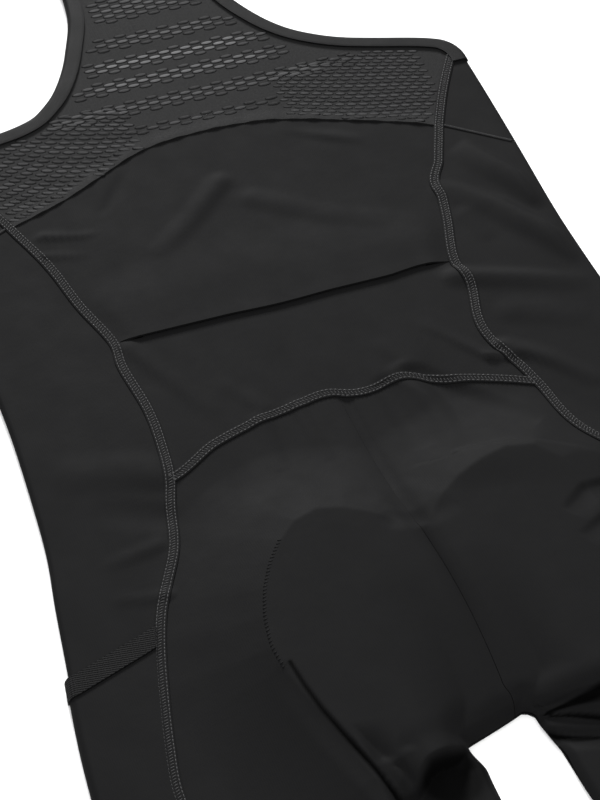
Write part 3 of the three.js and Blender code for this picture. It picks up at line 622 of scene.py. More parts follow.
MAKERS = {
    "jersey": jersey_finish, "net": net_finish, "net_cell": net_cell_finish, "net_gap": net_gap_finish,
    "binding": binding_finish, "elastic": elastic_finish, "thread": thread_finish, "padding": padding_finish,
}


def finish_named(name):
    made = bpy.data.materials.get(f"{name}_finish")
    return made or MAKERS[name](bpy.context.scene.bib_shorts)


# Meshes

SHARP_ANGLE = math.radians(55)
# A cut's area counts as at least this share of its width by length. A cut is declared
# with at least this share of its width by length
LEAST_FILL = 0.31


def add_piece(name, mesh, finish):
    mesh.materials.clear()
    mesh.materials.append(finish_named(finish))
    piece = bpy.data.objects.new(name, mesh)
    bpy.context.scene.collection.objects.link(piece)
    return piece


def finish_piece(piece, nodes=()):
    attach(piece, "root")
    if nodes:
        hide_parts(*nodes)
    return piece


def shell_mesh(name, points, out, wall=WALL, lift=0.0, closed=False, flip=False, keep=None):
    """A closed wall over a grid of places. keep leaves out cells whose corners aren't all kept."""
    rows, columns = points.shape[:2]
    keep = np.ones((rows, columns), bool) if keep is None else keep
    number = np.full((rows, columns), -1)
    number[keep] = np.arange(keep.sum())
    lift = np.broadcast_to(lift, (rows, columns))[keep][:, None]
    middle = points[keep] + out[keep] * lift
    upper = to_metres(middle + out[keep] * wall / 2)
    lower = to_metres(middle - out[keep] * wall / 2)
    around = number if not closed else np.c_[number, number[:, :1]]
    corners = np.stack([around[:-1, :-1], around[:-1, 1:], around[1:, 1:], around[1:, :-1]], -1)
    corners = corners.reshape(-1, 4)
    corners = corners[(corners >= 0).all(1)]
    if flip:
        corners = corners[:, ::-1]
    count = len(middle)
    edges = np.concatenate([corners[:, [i, (i + 1) % 4]] for i in range(4)])
    codes = edges[:, 0].astype(np.int64) * count + edges[:, 1]
    reverse = edges[:, 1].astype(np.int64) * count + edges[:, 0]
    rim = edges[~np.isin(codes, reverse)]
    walls = np.stack([rim[:, 1], rim[:, 0], rim[:, 0] + count, rim[:, 1] + count], -1)
    faces = np.concatenate([corners, corners[:, ::-1] + count, walls])
    mesh = bpy.data.meshes.new(name)
    mesh.from_pydata(np.concatenate([upper, lower]).tolist(), [], faces.tolist())
    mesh.polygons.foreach_set("use_smooth", np.ones(len(faces), bool))
    mesh.set_sharp_from_angle(angle=SHARP_ANGLE)
    # Each point keeps its painted shade, which darkens the jersey's colour in creases and beside the leg gap
    shade_there = np.tile(painted_shade_at(points[keep][:, 0], points[keep][:, 1]), 2)
    mesh.attributes.new("shade", "FLOAT", "POINT").data.foreach_set("value", shade_there)
    mesh.update()
    return mesh


def cut_of(points, keep=None):
    """Width, length and area in metres of the flat piece that a grid of places was cut from."""
    points = points * MM
    across = np.linalg.norm(np.diff(points, axis=1), axis=-1)
    along = np.linalg.norm(np.diff(points, axis=0), axis=-1)
    diagonal_a = points[1:, 1:] - points[:-1, :-1]
    diagonal_b = points[1:, :-1] - points[:-1, 1:]
    cells = np.linalg.norm(np.cross(diagonal_a, diagonal_b), axis=-1) / 2
    if keep is not None:
        cells = cells * (keep[1:, 1:] & keep[:-1, :-1] & keep[1:, :-1] & keep[:-1, 1:])
        across = across * (keep[:, 1:] & keep[:, :-1])
        along = along * (keep[1:] & keep[:-1])
    width = float(across.sum(1).max())
    length = float(along.sum(0).max())
    area = float(cells.sum())
    return (width, length), min(max(area, LEAST_FILL * width * length), width * length)


def cloth_piece(name, grid, finish, nodes, rests_on, **shape):
    """A sheet of cloth over a grid; the size it was cut to is worked out but not used."""
    points, out = grid
    piece = add_piece(name, shell_mesh(name, points, out, **shape), finish)
    finish_piece(piece, nodes)
    flat, area = cut_of(points, shape.get("keep"))
    return piece


def steps(length, cell):
    """Shares from 0 to 1 whose spacing is about one cell over that length."""
    return np.linspace(0, 1, max(int(round(length / cell)), 1) + 1)


def join_rows(*parts):
    return tuple(np.concatenate([part[i] for part in parts], 1) for i in (0, 1))


# Grids of the panels, whose lengths and widths below only set how many cells they get

BACK_WIDTH = 190
SEAT_WIDTH = 164
SIDE_WIDTH = 60
SIDE_LENGTH = 590
GUSSET_WIDTH = 30
GUSSET_LENGTH = 60
YOKE_WIDTH = 300
STRAP_LENGTH = 60
CORNER_RUN = 12
LAP_CELL = 9
FOLD_TURNS = 9


def back_grid(mid_y, dip, cell):
    """Rows between the princess seams; each falls by its dip towards the sides."""
    u = (steps(BACK_WIDTH, cell) * 2 - 1)[None, :]
    half = (princess_seam(mid_y - dip) - HALF_GAP)[:, None]
    points, out = on_cover(u * half, mid_y[:, None] - dip[:, None] * u * u)
    return points, out, half * (1 - np.abs(u))


def upper_back(cell):
    t = steps(YOKE_Y - SLIT_Y, cell)
    mid_y = mix(SLIT_Y + HALF_GAP, YOKE_Y - HALF_GAP, t)
    points, out, to_seam = back_grid(mid_y, mix(0, YOKE_DIP, t), cell)
    rise = 1 - smooth((mid_y[:, None] - SLIT_Y - MOUTH["tongue"]) / MOUTH["fade"])
    lip = 1 + MOUTH["lip"] * np.exp(-((mid_y[:, None] - SLIT_Y) / MOUTH["lip_reach"]) ** 2)
    lift = LAYER_STEP * smooth(to_seam / MOUTH["side"]) * rise * lip
    return (points, out), lift


def pocket(cell):
    t = steps(SLIT_Y - WAIST_Y, cell)
    mid_y = mix(WAIST_Y + HALF_GAP, SLIT_Y - HALF_GAP, t)
    dip = mix(WAIST_DIP, 0, t)
    tongue = SLIT_Y + MOUTH["tongue"] * steps(MOUTH["tongue"], MOUTH["tongue_cell"])[1:]
    points, out, _ = back_grid(np.r_[mid_y, tongue], np.r_[dip, 0 * tongue], cell)
    keep = np.ones(points.shape[:2], bool)
    u = steps(BACK_WIDTH, cell) * 2 - 1
    keep[len(mid_y):] = np.abs(u) < 1 - MOUTH["side"] / princess_seam(SLIT_Y)
    return (points, out), keep


def seat_inner_path(cell):
    """The seat panel's inner edge: up the leg, round the gap's corner and up the centre seam."""
    coarse, fine = 1.4 * cell, cell / 2
    leg_y = np.r_[
        mix(LEG_BAND_TOP_Y + HALF_GAP, FINE_FROM_Y, steps(FINE_FROM_Y - LEG_BAND_TOP_Y, coarse))[:-1],
        mix(FINE_FROM_Y, LEG_END_Y, steps(LEG_END_Y - FINE_FROM_Y, fine))[:-1]]
    turn = np.linspace(0, np.pi / 2, 7)
    gap_x = leg_inner(CROTCH_Y)
    corner_x = gap_x - CROTCH_CORNER
    corner_y = CROTCH_Y - CROTCH_CORNER
    run = steps(CORNER_RUN, fine)
    centre_y = mix(CROTCH_Y, WAIST_Y - HALF_GAP, steps(WAIST_Y - CROTCH_Y, cell))
    centre_x = np.where(centre_y > PAD_NOTCH_Y, CLOSED_HALF_GAP, HALF_GAP)
    path = np.concatenate([
        np.stack([leg_inner(leg_y), leg_y], -1),
        np.stack([gap_x + 0 * run, mix(LEG_END_Y, corner_y, run)], -1)[:-1],
        np.stack([corner_x + CROTCH_CORNER * np.cos(turn), corner_y + CROTCH_CORNER * np.sin(turn)], -1),
        np.stack([mix(corner_x, HALF_GAP, run), CROTCH_Y + 0 * run], -1)[1:],
        np.stack([centre_x, centre_y], -1)[1:],
    ])
    length = np.r_[0, np.cumsum(np.hypot(*np.diff(path, axis=0).T))]
    return path, length - length[len(leg_y)]


def seat_grid(side, cell):
    """Rows from the inner edge out to the princess seam, their length counted from the leg's end."""
    path, length = seat_inner_path(cell)
    inner_x, inner_y = path.T
    y = length - CENTRE_STARTS + CROTCH_Y
    lift = HIP["lift"] * (1 - smooth((y - HIP["from_y"]) / HIP["fade"]))
    hip = y + lift - WAIST_DIP * smooth((y - HIP["dip_from_y"]) / (WAIST_Y - HIP["dip_from_y"]))
    outer_y = np.where(length <= 0, inner_y, np.where(y < HIP["from_y"], OUTER_ALONG(length), hip))
    outer_x = princess_seam(outer_y) - HALF_GAP
    width = (outer_x - inner_x)[:, None]
    strip = EDGE_STRIP["width"]
    near = strip * (1 - (1 - steps(strip, EDGE_STRIP["cell"])) ** EDGE_STRIP["pull"])
    far = np.interp(steps(SEAT_WIDTH, cell), *COLUMN_SHARES)[1:]
    reach = np.concatenate([near + 0 * width, strip + far * (width - strip)], 1)
    x = inner_x[:, None] + reach
    share = reach / width
    bend = mix(share, (x / outer_x[:, None]) ** 2, smooth((inner_y[:, None] - BEND["from_y"]) / BEND["fade"]))
    return on_cover(side * x, mix(inner_y[:, None], outer_y[:, None], bend))


def wrapped_grid(side, inner_x, inner_y, outer_y, cell, across=SIDE_WIDTH, turn_to=1.0):
    """Rows that start on the upper layer, turn round the side fold and end under the front."""
    inner_x, inner_y, outer_y = inner_x[:, None], inner_y[:, None], outer_y[:, None]
    fold_x = fold_start(outer_y)
    t = steps(across, cell)[None, :-1]
    over = on_cover(side * mix(inner_x, fold_x, t), mix(inner_y, outer_y, t))
    angle = np.pi * (0.5 - np.linspace(0, turn_to, FOLD_TURNS)[None, :])
    round_fold = on_arc(side, fold_x, outer_y, angle)
    if turn_to < 1:
        return join_rows(over, round_fold)
    lap = (FRONT_LAP - WALL / 2 - FOLD_RADIUS) * steps(FRONT_LAP, LAP_CELL)[None, 1:]
    under = on_level(side * (fold_x - lap), outer_y, WALL / 2, -1)
    return join_rows(over, round_fold, under)


def side_grid(side, cell):
    y = mix(LEG_BAND_TOP_Y + HALF_GAP, YOKE_SIDE_Y - HALF_GAP, steps(SIDE_LENGTH, cell))
    fall = GUSSET_DIP * smooth((y - SLIT_Y) / (YOKE_SIDE_Y - SLIT_Y))
    return wrapped_grid(side, princess_seam(y) + HALF_GAP, y, y - fall, cell)


def gusset_grid(side, cell):
    t = steps(GUSSET_LENGTH, cell)
    inner_y = mix(YOKE_SIDE_Y + HALF_GAP, ARMPIT_Y, t)
    outer_y = mix(GUSSET_HEM_Y + HALF_GAP, GUSSET_TOP_Y, t)
    return wrapped_grid(side, gusset_seam(inner_y) + HALF_GAP, inner_y, outer_y, cell, across=GUSSET_WIDTH)


# The thigh pockets start beside the princess seam and end part of the way round the side fold, and their
# elastic bands fall towards the side by a share of their width
THIGH_POCKET = {"bottom_y": -72, "length": 160, "from_seam": 2, "across": 45, "turn_to": 0.55}
POCKET_BAND = {"width": 13, "wall": 2, "inner_y": 108, "fall": 0.36, "row_cell": 1.3, "cell": 1.6}


def pocket_row_grid(side, y, slant, cell):
    inner_x = princess_seam(y) + THIGH_POCKET["from_seam"]
    outer_y = y - slant * POCKET_BAND["fall"] * (side_edge(y) - inner_x)
    across, turn_to = THIGH_POCKET["across"], THIGH_POCKET["turn_to"]
    return wrapped_grid(side, inner_x, y, outer_y, cell, across=across, turn_to=turn_to)


# The straps begin at this share of the yoke's half width
STRAP_SPLIT = 3 / 7


def yoke_grid(cell):
    """Curved rows above the yoke seam, level rows between the armholes, then two straps."""
    u = steps(YOKE_WIDTH, cell) * 2 - 1
    t = steps(ARMPIT_Y - YOKE_SIDE_Y, cell)[:-1]
    outer_y = mix(YOKE_SIDE_Y + HALF_GAP, ARMPIT_Y, t)[:, None]
    mid_y = mix(YOKE_Y + HALF_GAP, ARMPIT_Y, t)[:, None]
    bent = on_cover(u * (gusset_seam(outer_y) - HALF_GAP), mix(mid_y, outer_y, u * u))
    level_y = np.r_[
        mix(ARMPIT_Y, ARMHOLE_BEND_Y, steps(ARMHOLE_BEND_Y - ARMPIT_Y, 1.0)),
        mix(ARMHOLE_BEND_Y, STRAPS_Y, steps(STRAPS_Y - ARMHOLE_BEND_Y, cell))[1:]][:, None]
    half = np.where(u[None, :] < 0, armhole[-1](level_y), armhole[1](level_y)) - HALF_GAP
    level = on_cover(u * half, level_y + 0 * u)
    straps = on_cover(*strap_places(u, cell))
    shoulder = over_shoulder(straps[0][-1])
    points, normals = (np.concatenate(parts) for parts in zip(bent, level, straps, shoulder))
    keep = np.ones(points.shape[:2], bool)
    keep[len(t) + len(level_y) + 1:] = np.abs(u) >= STRAP_SPLIT
    return (points, normals), keep


def strap_places(u, cell):
    """Plan places of the straps' rows, the first of which takes in the neck's scoop."""
    t = steps(STRAP_LENGTH, cell)
    marks = np.linspace(0, 1, len(STRAP_INNER))
    inner = np.stack([np.interp(t, marks, [place[i] for place in STRAP_INNER]) for i in (0, 1)], -1)
    outer = np.stack([np.interp(t, marks, [place[i] for place in STRAP_OUTER]) for i in (0, 1)], -1)
    share = np.clip((1 - np.abs(u)) / (1 - STRAP_SPLIT), 0, 1)[None, :]
    x = np.sign(u)[None, :] * mix(outer[:, :1], inner[:, :1], share)
    y = mix(outer[:, 1:], inner[:, 1:], share)
    middle = np.abs(u) <= STRAP_SPLIT
    scoop = np.clip(np.abs(u) / STRAP_SPLIT, 0, 1)
    x[0] = np.where(middle, u / STRAP_SPLIT * NECK_CORNER[0], x[0])
    y[0] = np.where(middle, mix(NECK_BOTTOM_Y, NECK_CORNER[1], scoop**2), y[0])
    return x, y


def over_shoulder(last_row):
    """Rows that carry the straps' last row round the shoulder fold."""
    angle = np.linspace(0, np.pi, FOLD_TURNS - 1)[1:, None]
    out = np.zeros((len(angle), len(last_row), 3))
    out[..., 1] = np.sin(angle)
    out[..., 2] = np.cos(angle)
    centre = np.stack([last_row[:, 0], last_row[:, 1], np.full(len(last_row), FOLD_Z)], -1)
    return centre[None] + FOLD_RADIUS * out, out


# Paths along seams and edges

PATH_STEP = 2.0
# The bindings end before the shoulder fold
BINDING_END = 0.85
# Where each armhole's binding turns its lower corner, and where it meets the armhole's own curve
ARMHOLE_CORNER = {
    -1: ((-154.3, 464.5), (-153.5, 471), (-149, 477.5), (-140, 482)),
    1: ((154.3, 464.5), (154.3, 471), (152, 478.5), (147.5, 484.5)),
}
ARMHOLE_START_Y = {-1: 486, 1: 489}


def shortened(strap):
    strap = np.array(strap, float)
    strap[-1] = mix(strap[-2], strap[-1], BINDING_END)
    return strap


def armhole_path(side):
    first_y = ARMHOLE_START_Y[side]
    y = np.r_[
        mix(first_y, ARMHOLE_BEND_Y, steps(ARMHOLE_BEND_Y - first_y, 1.5)),
        mix(ARMHOLE_BEND_Y, STRAPS_Y, steps(STRAPS_Y - ARMHOLE_BEND_Y, 4))[1:]]
    level = np.stack([side * armhole[side](y), y], -1)
    return rounded(np.concatenate([ARMHOLE_CORNER[side], level, shortened(STRAP_OUTER) * (side, 1)]))


def neck_path():
    u = np.linspace(-1, 1, 21)
    scoop = np.stack([u * NECK_CORNER[0], mix(NECK_BOTTOM_Y, NECK_CORNER[1], u * u)], -1)
    right = shortened(STRAP_INNER[1:])
    return rounded(np.concatenate([(right * (-1, 1))[::-1], scoop, right]))


def rounded(path):
    """The path again, evenly spaced and eased at its corners."""
    length = np.r_[0, np.cumsum(np.hypot(*np.diff(path, axis=0).T))]
    even = np.linspace(0, length[-1], int(length[-1] / PATH_STEP) + 1)
    points = np.stack([np.interp(even, length, path[:, i]) for i in (0, 1)], -1)
    for _ in range(3):
        points[1:-1] = (points[:-2] + 2 * points[1:-1] + points[2:]) / 4
    return points


def sideways(path):
    """Unit vectors to the left of a path's direction."""
    along = np.gradient(path, axis=0)
    along /= np.linalg.norm(along, axis=1, keepdims=True)
    return np.stack([-along[:, 1], along[:, 0]], -1)


BINDING_WALL = 1
# Across the binding: distance in from the cloth's edge, drop from the top and the face's turn
BINDING_SECTION = (
    (7, 0.1, -0.3), (6.4, 0, -0.1), (5, 0, 0), (3, 0, 0), (1, 0, 0), (0, 0.05, 0.1), (-0.8, 0.25, 0.4),
    (-1.4, 0.7, 0.8), (-1.8, 1.5, 1.2), (-2, 2.6, np.pi / 2))


def binding_grid(path, inward_side):
    """A strip laid over a cloth edge and turned down past it."""
    inward, drop, turn = np.array(BINDING_SECTION).T
    base = COVER_Z + WALL / 2 + SEAM_GAP + BINDING_WALL / 2
    into = sideways(path) * inward_side
    plan = path[:, None] + into[:, None] * inward[None, :, None]
    heights = np.broadcast_to(base - drop, plan.shape[:2])
    points = np.concatenate([plan, heights[..., None]], -1)
    out = np.concatenate([
        -into[:, None] * np.sin(turn)[None, :, None],
        np.broadcast_to(np.cos(turn), plan.shape[:2])[..., None]], -1)
    return points, out


def seam_paths():
    """Plan paths of the flatlock seams, by name."""
    found = {}
    for name, side in SIDES:
        y = np.linspace(LEG_BAND_TOP_Y + 2, YOKE_SIDE_Y, 240)
        found[f"princess_seam_{name}"] = np.stack([side * princess_seam(y), y], -1)
        y = np.linspace(YOKE_SIDE_Y, ARMPIT_Y - 2, 30)
        found[f"gusset_seam_{name}"] = np.stack([side * gusset_seam(y), y], -1)
    x = np.linspace(1 - WAIST_HALF, WAIST_HALF - 1, 100)
    found["waist_seam"] = np.stack([x, WAIST_Y - WAIST_DIP * (x / WAIST_HALF) ** 2], -1)
    return {name: rounded(path) for name, path in found.items()}


HEM_INSET = 3


def gusset_hem_path(side):
    """The gusset's lower edge, from beside the gusset seam to beside the side fold."""
    t = np.linspace(0, 1, 30)
    x = mix(YOKE_HALF + HEM_INSET, side_edge(GUSSET_HEM_Y) - HEM_INSET, t)
    return rounded(np.stack([side * x, YOKE_SIDE_Y - GUSSET_DIP * t], -1))


# The tapes of the flatlock seams and of the narrow gusset hems, and how far they lie over the cloth
SEAM_TAPE = {"half_width": 2.9, "wall": 0.5}
HEM_TAPE = {"half_width": 0.5, "wall": 0.3}
TAPE_LIFT = 0.2
# Across a tape: share of its half width, and rise
TAPE_SECTION = ((-1, 0), (-0.85, 0.22), (-0.4, 0.3), (0, 0.12), (0.4, 0.3), (0.85, 0.22), (1, 0))
# How far the stitch rows lie beside the seam's middle, and the threads' heights over the cloth
ROW_BESIDE = 1.9
ROW_HEIGHT = 0.62
CROSS_HEIGHT = 0.55
PAD_THREAD_HEIGHT = -0.1
# The points of the pad's outline that its stitches follow, on the left
PAD_STITCHED = slice(6, 12)
# Shares of the settings' stitch pitch: the rows' stitch length and the crossing threads' pitch
ROW_LENGTH = 0.95
CROSS_PITCH = 0.75
# Sizes of the threads in metres
ROW_THREAD = {"Width": 0.0008}
CROSS_THREAD = {"Length": 0.0036, "Width": 0.0005, "Angle": math.radians(62)}
PAD_THREAD = {"Pitch": 0.0023, "Length": 0.0024, "Width": 0.0007, "Angle": 1.1}


def seam_tape(name, path, half_width, wall):
    """The flat raised tape along a seam."""
    across, rise = np.array(TAPE_SECTION, float).T
    left = sideways(path)
    plan = path[:, None] + left[:, None] * (across * half_width)[None, :, None]
    points, out = on_cover(plan[..., 0], plan[..., 1])
    lift = WALL / 2 + TAPE_LIFT + rise[None, :] + 0 * points[..., 0]
    return shell_mesh(name, points, out, wall=wall, lift=lift, flip=True)


# Geometry Nodes

class Tree:
    """A Geometry Nodes group with named inputs."""

    def __init__(self, name, inputs):
        self.group = bpy.data.node_groups.new(name, "GeometryNodeTree")
        self.group.interface.new_socket("Geometry", in_out="INPUT", socket_type="NodeSocketGeometry")
        for label, (kind, default) in inputs.items():
            socket = self.group.interface.new_socket(label, in_out="INPUT", socket_type=kind)
            if default is not None:
                socket.default_value = default
        self.group.interface.new_socket("Geometry", in_out="OUTPUT", socket_type="NodeSocketGeometry")
        self.input = self.group.nodes.new("NodeGroupInput")

    def node(self, kind, settings=None, inputs=None):
        made = self.group.nodes.new(kind)
        for key, value in (settings or {}).items():
            setattr(made, key, value)
        for key, value in (inputs or {}).items():
            if isinstance(value, bpy.types.NodeSocket):
                self.group.links.new(value, made.inputs[key])
            else:
                made.inputs[key].default_value = value
        return made

    def ball(self, segments, rings):
        """A smooth ball one unit across, for instances that scale it."""
        made = self.node("GeometryNodeMeshUVSphere", inputs={
            "Segments": segments, "Rings": rings, "Radius": 0.5})
        return self.node("GeometryNodeSetShadeSmooth", inputs={0: made.outputs["Mesh"]}).outputs[0]

    def finish(self, geometry):
        real = self.node("GeometryNodeRealizeInstances", inputs={0: geometry})
        painted = self.node("GeometryNodeSetMaterial", inputs={
            "Geometry": real.outputs[0], "Material": self.input.outputs["Material"]})
        output = self.group.nodes.new("NodeGroupOutput")
        self.group.links.new(painted.outputs[0], output.inputs[0])
        return self.group


def stitch_tree():
    """Short rounded threads set at an even pitch along a curve, turned by an angle to it."""
    if "Stitches" in bpy.data.node_groups:
        return bpy.data.node_groups["Stitches"]
    tree = Tree("Stitches", {
        "Pitch": ("NodeSocketFloat", 0.0018), "Length": ("NodeSocketFloat", 0.0015),
        "Width": ("NodeSocketFloat", 0.0006), "Angle": ("NodeSocketFloat", 0.0),
        "Material": ("NodeSocketMaterial", None)})
    given = tree.input.outputs
    even = tree.node("GeometryNodeResampleCurve", {"mode": "LENGTH"}, {
        "Curve": given["Geometry"], "Length": given["Pitch"]})
    spots = tree.node("GeometryNodeCurveToPoints", {"mode": "EVALUATED"}, {"Curve": even.outputs[0]})
    size = tree.node("ShaderNodeCombineXYZ", inputs={
        "X": given["Width"], "Y": given["Width"], "Z": given["Length"]})
    turn = tree.node("ShaderNodeCombineXYZ", inputs={"Y": given["Angle"]})
    lay = tree.node("FunctionNodeRotateRotation", {"rotation_space": "LOCAL"}, {
        "Rotation": spots.outputs["Rotation"], "Rotate By": turn.outputs[0]})
    set_out = tree.node("GeometryNodeInstanceOnPoints", inputs={
        "Points": spots.outputs["Points"], "Instance": tree.ball(6, 4),
        "Rotation": lay.outputs[0], "Scale": size.outputs[0]})
    return tree.finish(set_out.outputs[0])


def cell_tree():
    """Flat lens-shaped net cells, one on each given point, scaled by its own size."""
    if "Net Cells" in bpy.data.node_groups:
        return bpy.data.node_groups["Net Cells"]
    tree = Tree("Net Cells", {
        "Width": ("NodeSocketFloat", 0.007), "Height": ("NodeSocketFloat", 0.003),
        "Rise": ("NodeSocketFloat", 0.0009), "Material": ("NodeSocketMaterial", None)})
    given = tree.input.outputs
    size = tree.node("GeometryNodeInputNamedAttribute", {"data_type": "FLOAT"}, {"Name": "size"})
    way = tree.node("GeometryNodeInputNamedAttribute", {"data_type": "FLOAT_VECTOR"}, {"Name": "way_out"})
    whole = tree.node("ShaderNodeCombineXYZ", inputs={
        "X": given["Width"], "Y": given["Height"], "Z": given["Rise"]})
    scaled = tree.node("ShaderNodeVectorMath", {"operation": "SCALE"}, {
        0: whole.outputs[0], "Scale": size.outputs[0]})
    stand = tree.node("FunctionNodeAlignRotationToVector", {"axis": "Z"}, {"Vector": way.outputs[0]})
    turn = tree.node("GeometryNodeInputNamedAttribute", {"data_type": "FLOAT"}, {"Name": "turn"})
    round_z = tree.node("ShaderNodeCombineXYZ", inputs={"Z": turn.outputs[0]})
    turned = tree.node("FunctionNodeRotateRotation", {"rotation_space": "LOCAL"}, {
        "Rotation": stand.outputs[0], "Rotate By": round_z.outputs[0]})
    set_out = tree.node("GeometryNodeInstanceOnPoints", inputs={
        "Points": given["Geometry"], "Instance": tree.ball(12, 6), "Rotation": turned.outputs[0],
        "Scale": scaled.outputs[0]})
    return tree.finish(set_out.outputs[0])


def grown(name, source, group, finish, **values):
    """The plain mesh that a Geometry Nodes group makes from a source object."""
    modifier = source.modifiers.new("grow", "NODES")
    modifier.node_group = group
    sockets = {item.name: item.identifier for item in group.interface.items_tree if item.in_out == "INPUT"}
    for label, value in values.items():
        modifier[sockets[label]] = value
    modifier[sockets["Material"]] = finish_named(finish)
    bpy.context.view_layer.update()
    seen = source.evaluated_get(bpy.context.evaluated_depsgraph_get())
    mesh = bpy.data.meshes.new_from_object(seen)
    mesh.name = name
    source.modifiers.remove(modifier)
    data = source.data
    bpy.data.objects.remove(source)
    (bpy.data.curves if isinstance(data, bpy.types.Curve) else bpy.data.meshes).remove(data)
    return mesh


def curve_object(name, paths):
    """A curve object with one open poly spline for each (n, 3) path in metres."""
    curve = bpy.data.curves.new(name, "CURVE")
    curve.dimensions = "3D"
    for path in paths:
        spline = curve.splines.new("POLY")
        spline.points.add(len(path) - 1)
        spline.points.foreach_set("co", np.c_[path, np.ones(len(path))].ravel())
    made = bpy.data.objects.new(name, curve)
    bpy.context.scene.collection.objects.link(made)
    return made


def lifted_path(path, height):
    """The path in metres, at a height over the cloth's outer face."""
    points, out = on_cover(path[:, 0], path[:, 1])
    return to_metres(points + out * (WALL / 2 + height))


# Settings

class BibShortsSettings(bpy.types.PropertyGroup):
    cell: bpy.props.FloatProperty(
        name="Cloth Cell", description="Grid spacing of the cloth surfaces", default=0.0026, min=0.001,
        unit="LENGTH")
    jersey_colour: bpy.props.FloatVectorProperty(
        name="Jersey", description="Colour of the stretch jersey", subtype="COLOR", size=3,
        default=(0.0058, 0.0058, 0.006), min=0, max=1)
    net_colour: bpy.props.FloatVectorProperty(
        name="Net", description="Colour of the yoke's net", subtype="COLOR", size=3,
        default=(0.0102, 0.0102, 0.0104), min=0, max=1)
    thread_colour: bpy.props.FloatVectorProperty(
        name="Thread", description="Colour of the seam threads", subtype="COLOR", size=3,
        default=(0.024, 0.024, 0.0245), min=0, max=1)
    stitch_pitch: bpy.props.FloatProperty(
        name="Stitch Pitch", description="Distance between seam stitches", default=0.0023, min=0.0008,
        unit="LENGTH")
    camera_turn: bpy.props.FloatProperty(
        name="Camera Turn", description="Camera's turn round the garment", default=math.radians(-20.04),
        subtype="ANGLE")
    camera_height: bpy.props.FloatProperty(
        name="Camera Elevation", description="Camera's angle above the floor",
        default=math.radians(43.52), subtype="ANGLE")


# The seat's cells are finer, because its creases are the narrowest
SEAT_CELL_SHARE = 0.53


class PieceOperator:
    """What the operators of the cloth pieces share"""
    bl_options = {"REGISTER", "UNDO"}

    @property
    def cell(self):
        return bpy.context.scene.bib_shorts.cell / MM


class BIBSHORTS_OT_back(PieceOperator, bpy.types.Operator):
    """Upper back panel, whose lower edge lies over the rear pocket's mouth, and the pocket panel"""
    bl_idname = "bib_shorts.back"
    bl_label = "Back and Rear Pocket"

    def execute(self, context):
        grid, lift = upper_back(self.cell)
        cloth_piece("upper_back", grid, "jersey", ["back_panel"], ["pocket_panel"], lift=lift)
        grid, keep = pocket(self.cell)
        cloth_piece("rear_pocket", grid, "jersey", ["pocket_panel"], ["front_left", "front_right"], keep=keep)
        return {"FINISHED"}


class BIBSHORTS_OT_seat(PieceOperator, bpy.types.Operator):
    """The two seat and back-leg panels, stretched over the seat pad"""
    bl_idname = "bib_shorts.seat"
    bl_label = "Seat Panels"

    def execute(self, context):
        for name, side in SIDES:
            grid = seat_grid(side, self.cell * SEAT_CELL_SHARE)
            cloth_piece(
                f"seat_cloth_{name}", grid, "jersey", [f"seat_{name}"], ["seat_pad", f"front_{name}"],
                flip=side < 0)
        return {"FINISHED"}


class BIBSHORTS_OT_sides(PieceOperator, bpy.types.Operator):
    """Side panels and underarm gussets, wrapped round the side folds"""
    bl_idname = "bib_shorts.sides"
    bl_label = "Side Panels and Gussets"

    def execute(self, context):
        for name, side in SIDES:
            cloth_piece(
                f"side_cloth_{name}", side_grid(side, self.cell), "jersey", [f"side_panel_{name}"],
                [f"front_{name}"], flip=side < 0)
            cloth_piece(
                f"gusset_cloth_{name}", gusset_grid(side, self.cell), "jersey", [f"gusset_{name}"],
                [f"front_{name}"], flip=side < 0)
        return {"FINISHED"}


class BIBSHORTS_OT_thigh_pockets(PieceOperator, bpy.types.Operator):
    """Thigh pockets on the side panels, each with its textured elastic band"""
    bl_idname = "bib_shorts.thigh_pockets"
    bl_label = "Thigh Pockets"

    def execute(self, context):
        half = POCKET_BAND["width"] / 2
        middle = POCKET_BAND["inner_y"]
        for name, side in SIDES:
            t = steps(THIGH_POCKET["length"], self.cell)
            y = mix(THIGH_POCKET["bottom_y"], middle - half - SEAM_GAP, t)
            cloth_piece(
                f"thigh_pocket_cloth_{name}", pocket_row_grid(side, y, t, self.cell), "jersey",
                [f"thigh_pocket_{name}"], [f"side_panel_{name}"], lift=LAYER_STEP, flip=side < 0)
            y = mix(middle - half, middle + half, steps(POCKET_BAND["width"], POCKET_BAND["row_cell"]))
            grid = pocket_row_grid(side, y, np.ones_like(y), POCKET_BAND["cell"])
            cloth_piece(
                f"pocket_elastic_{name}", grid, "elastic", [f"pocket_band_{name}"], [f"side_panel_{name}"],
                wall=POCKET_BAND["wall"], lift=LAYER_STEP + (POCKET_BAND["wall"] - WALL) / 2, flip=side < 0)
        return {"FINISHED"}


# Rows of net cells across the middle: y of the lowest row, rows, glow (painted light), how far to each side
NET_BANDS = (
    (566, 9, 0.45, 44), (541, 5, 0.5, 45), (521, 5, 1, 56), (503, 5, 0.75, 62), (482, 5, 0.4, 88),
    (464, 3, 0.25, 40),
)
NET_ROW = 2.6
NET_PITCH = 12.6
NET_MIDDLE = 3
NET_COLUMNS = range(-9, 10)
# How a band's glow fades towards its two ends, and how much of it the first and last row lose
BAND_FADE = {"least": 0.25, "reach": 24, "past_end": 4, "row_loss": 0.75}
# Closer rows cover the yoke's lower sides: from x, to x, row, pitch, glow (painted light), size, slope
NET_WINGS = ((-126, -36, 3.5, 7.4, 0.23, 0.95, -0.365), (44, 134, 3.1, 6.3, 0.23, 0.8, -0.33))
LOW_CELL_Y = 384
NET_WING_ROWS = 36
NET_WING_TOP_Y = 492
WING_FADE = 12
LEAST_CELL = 0.4
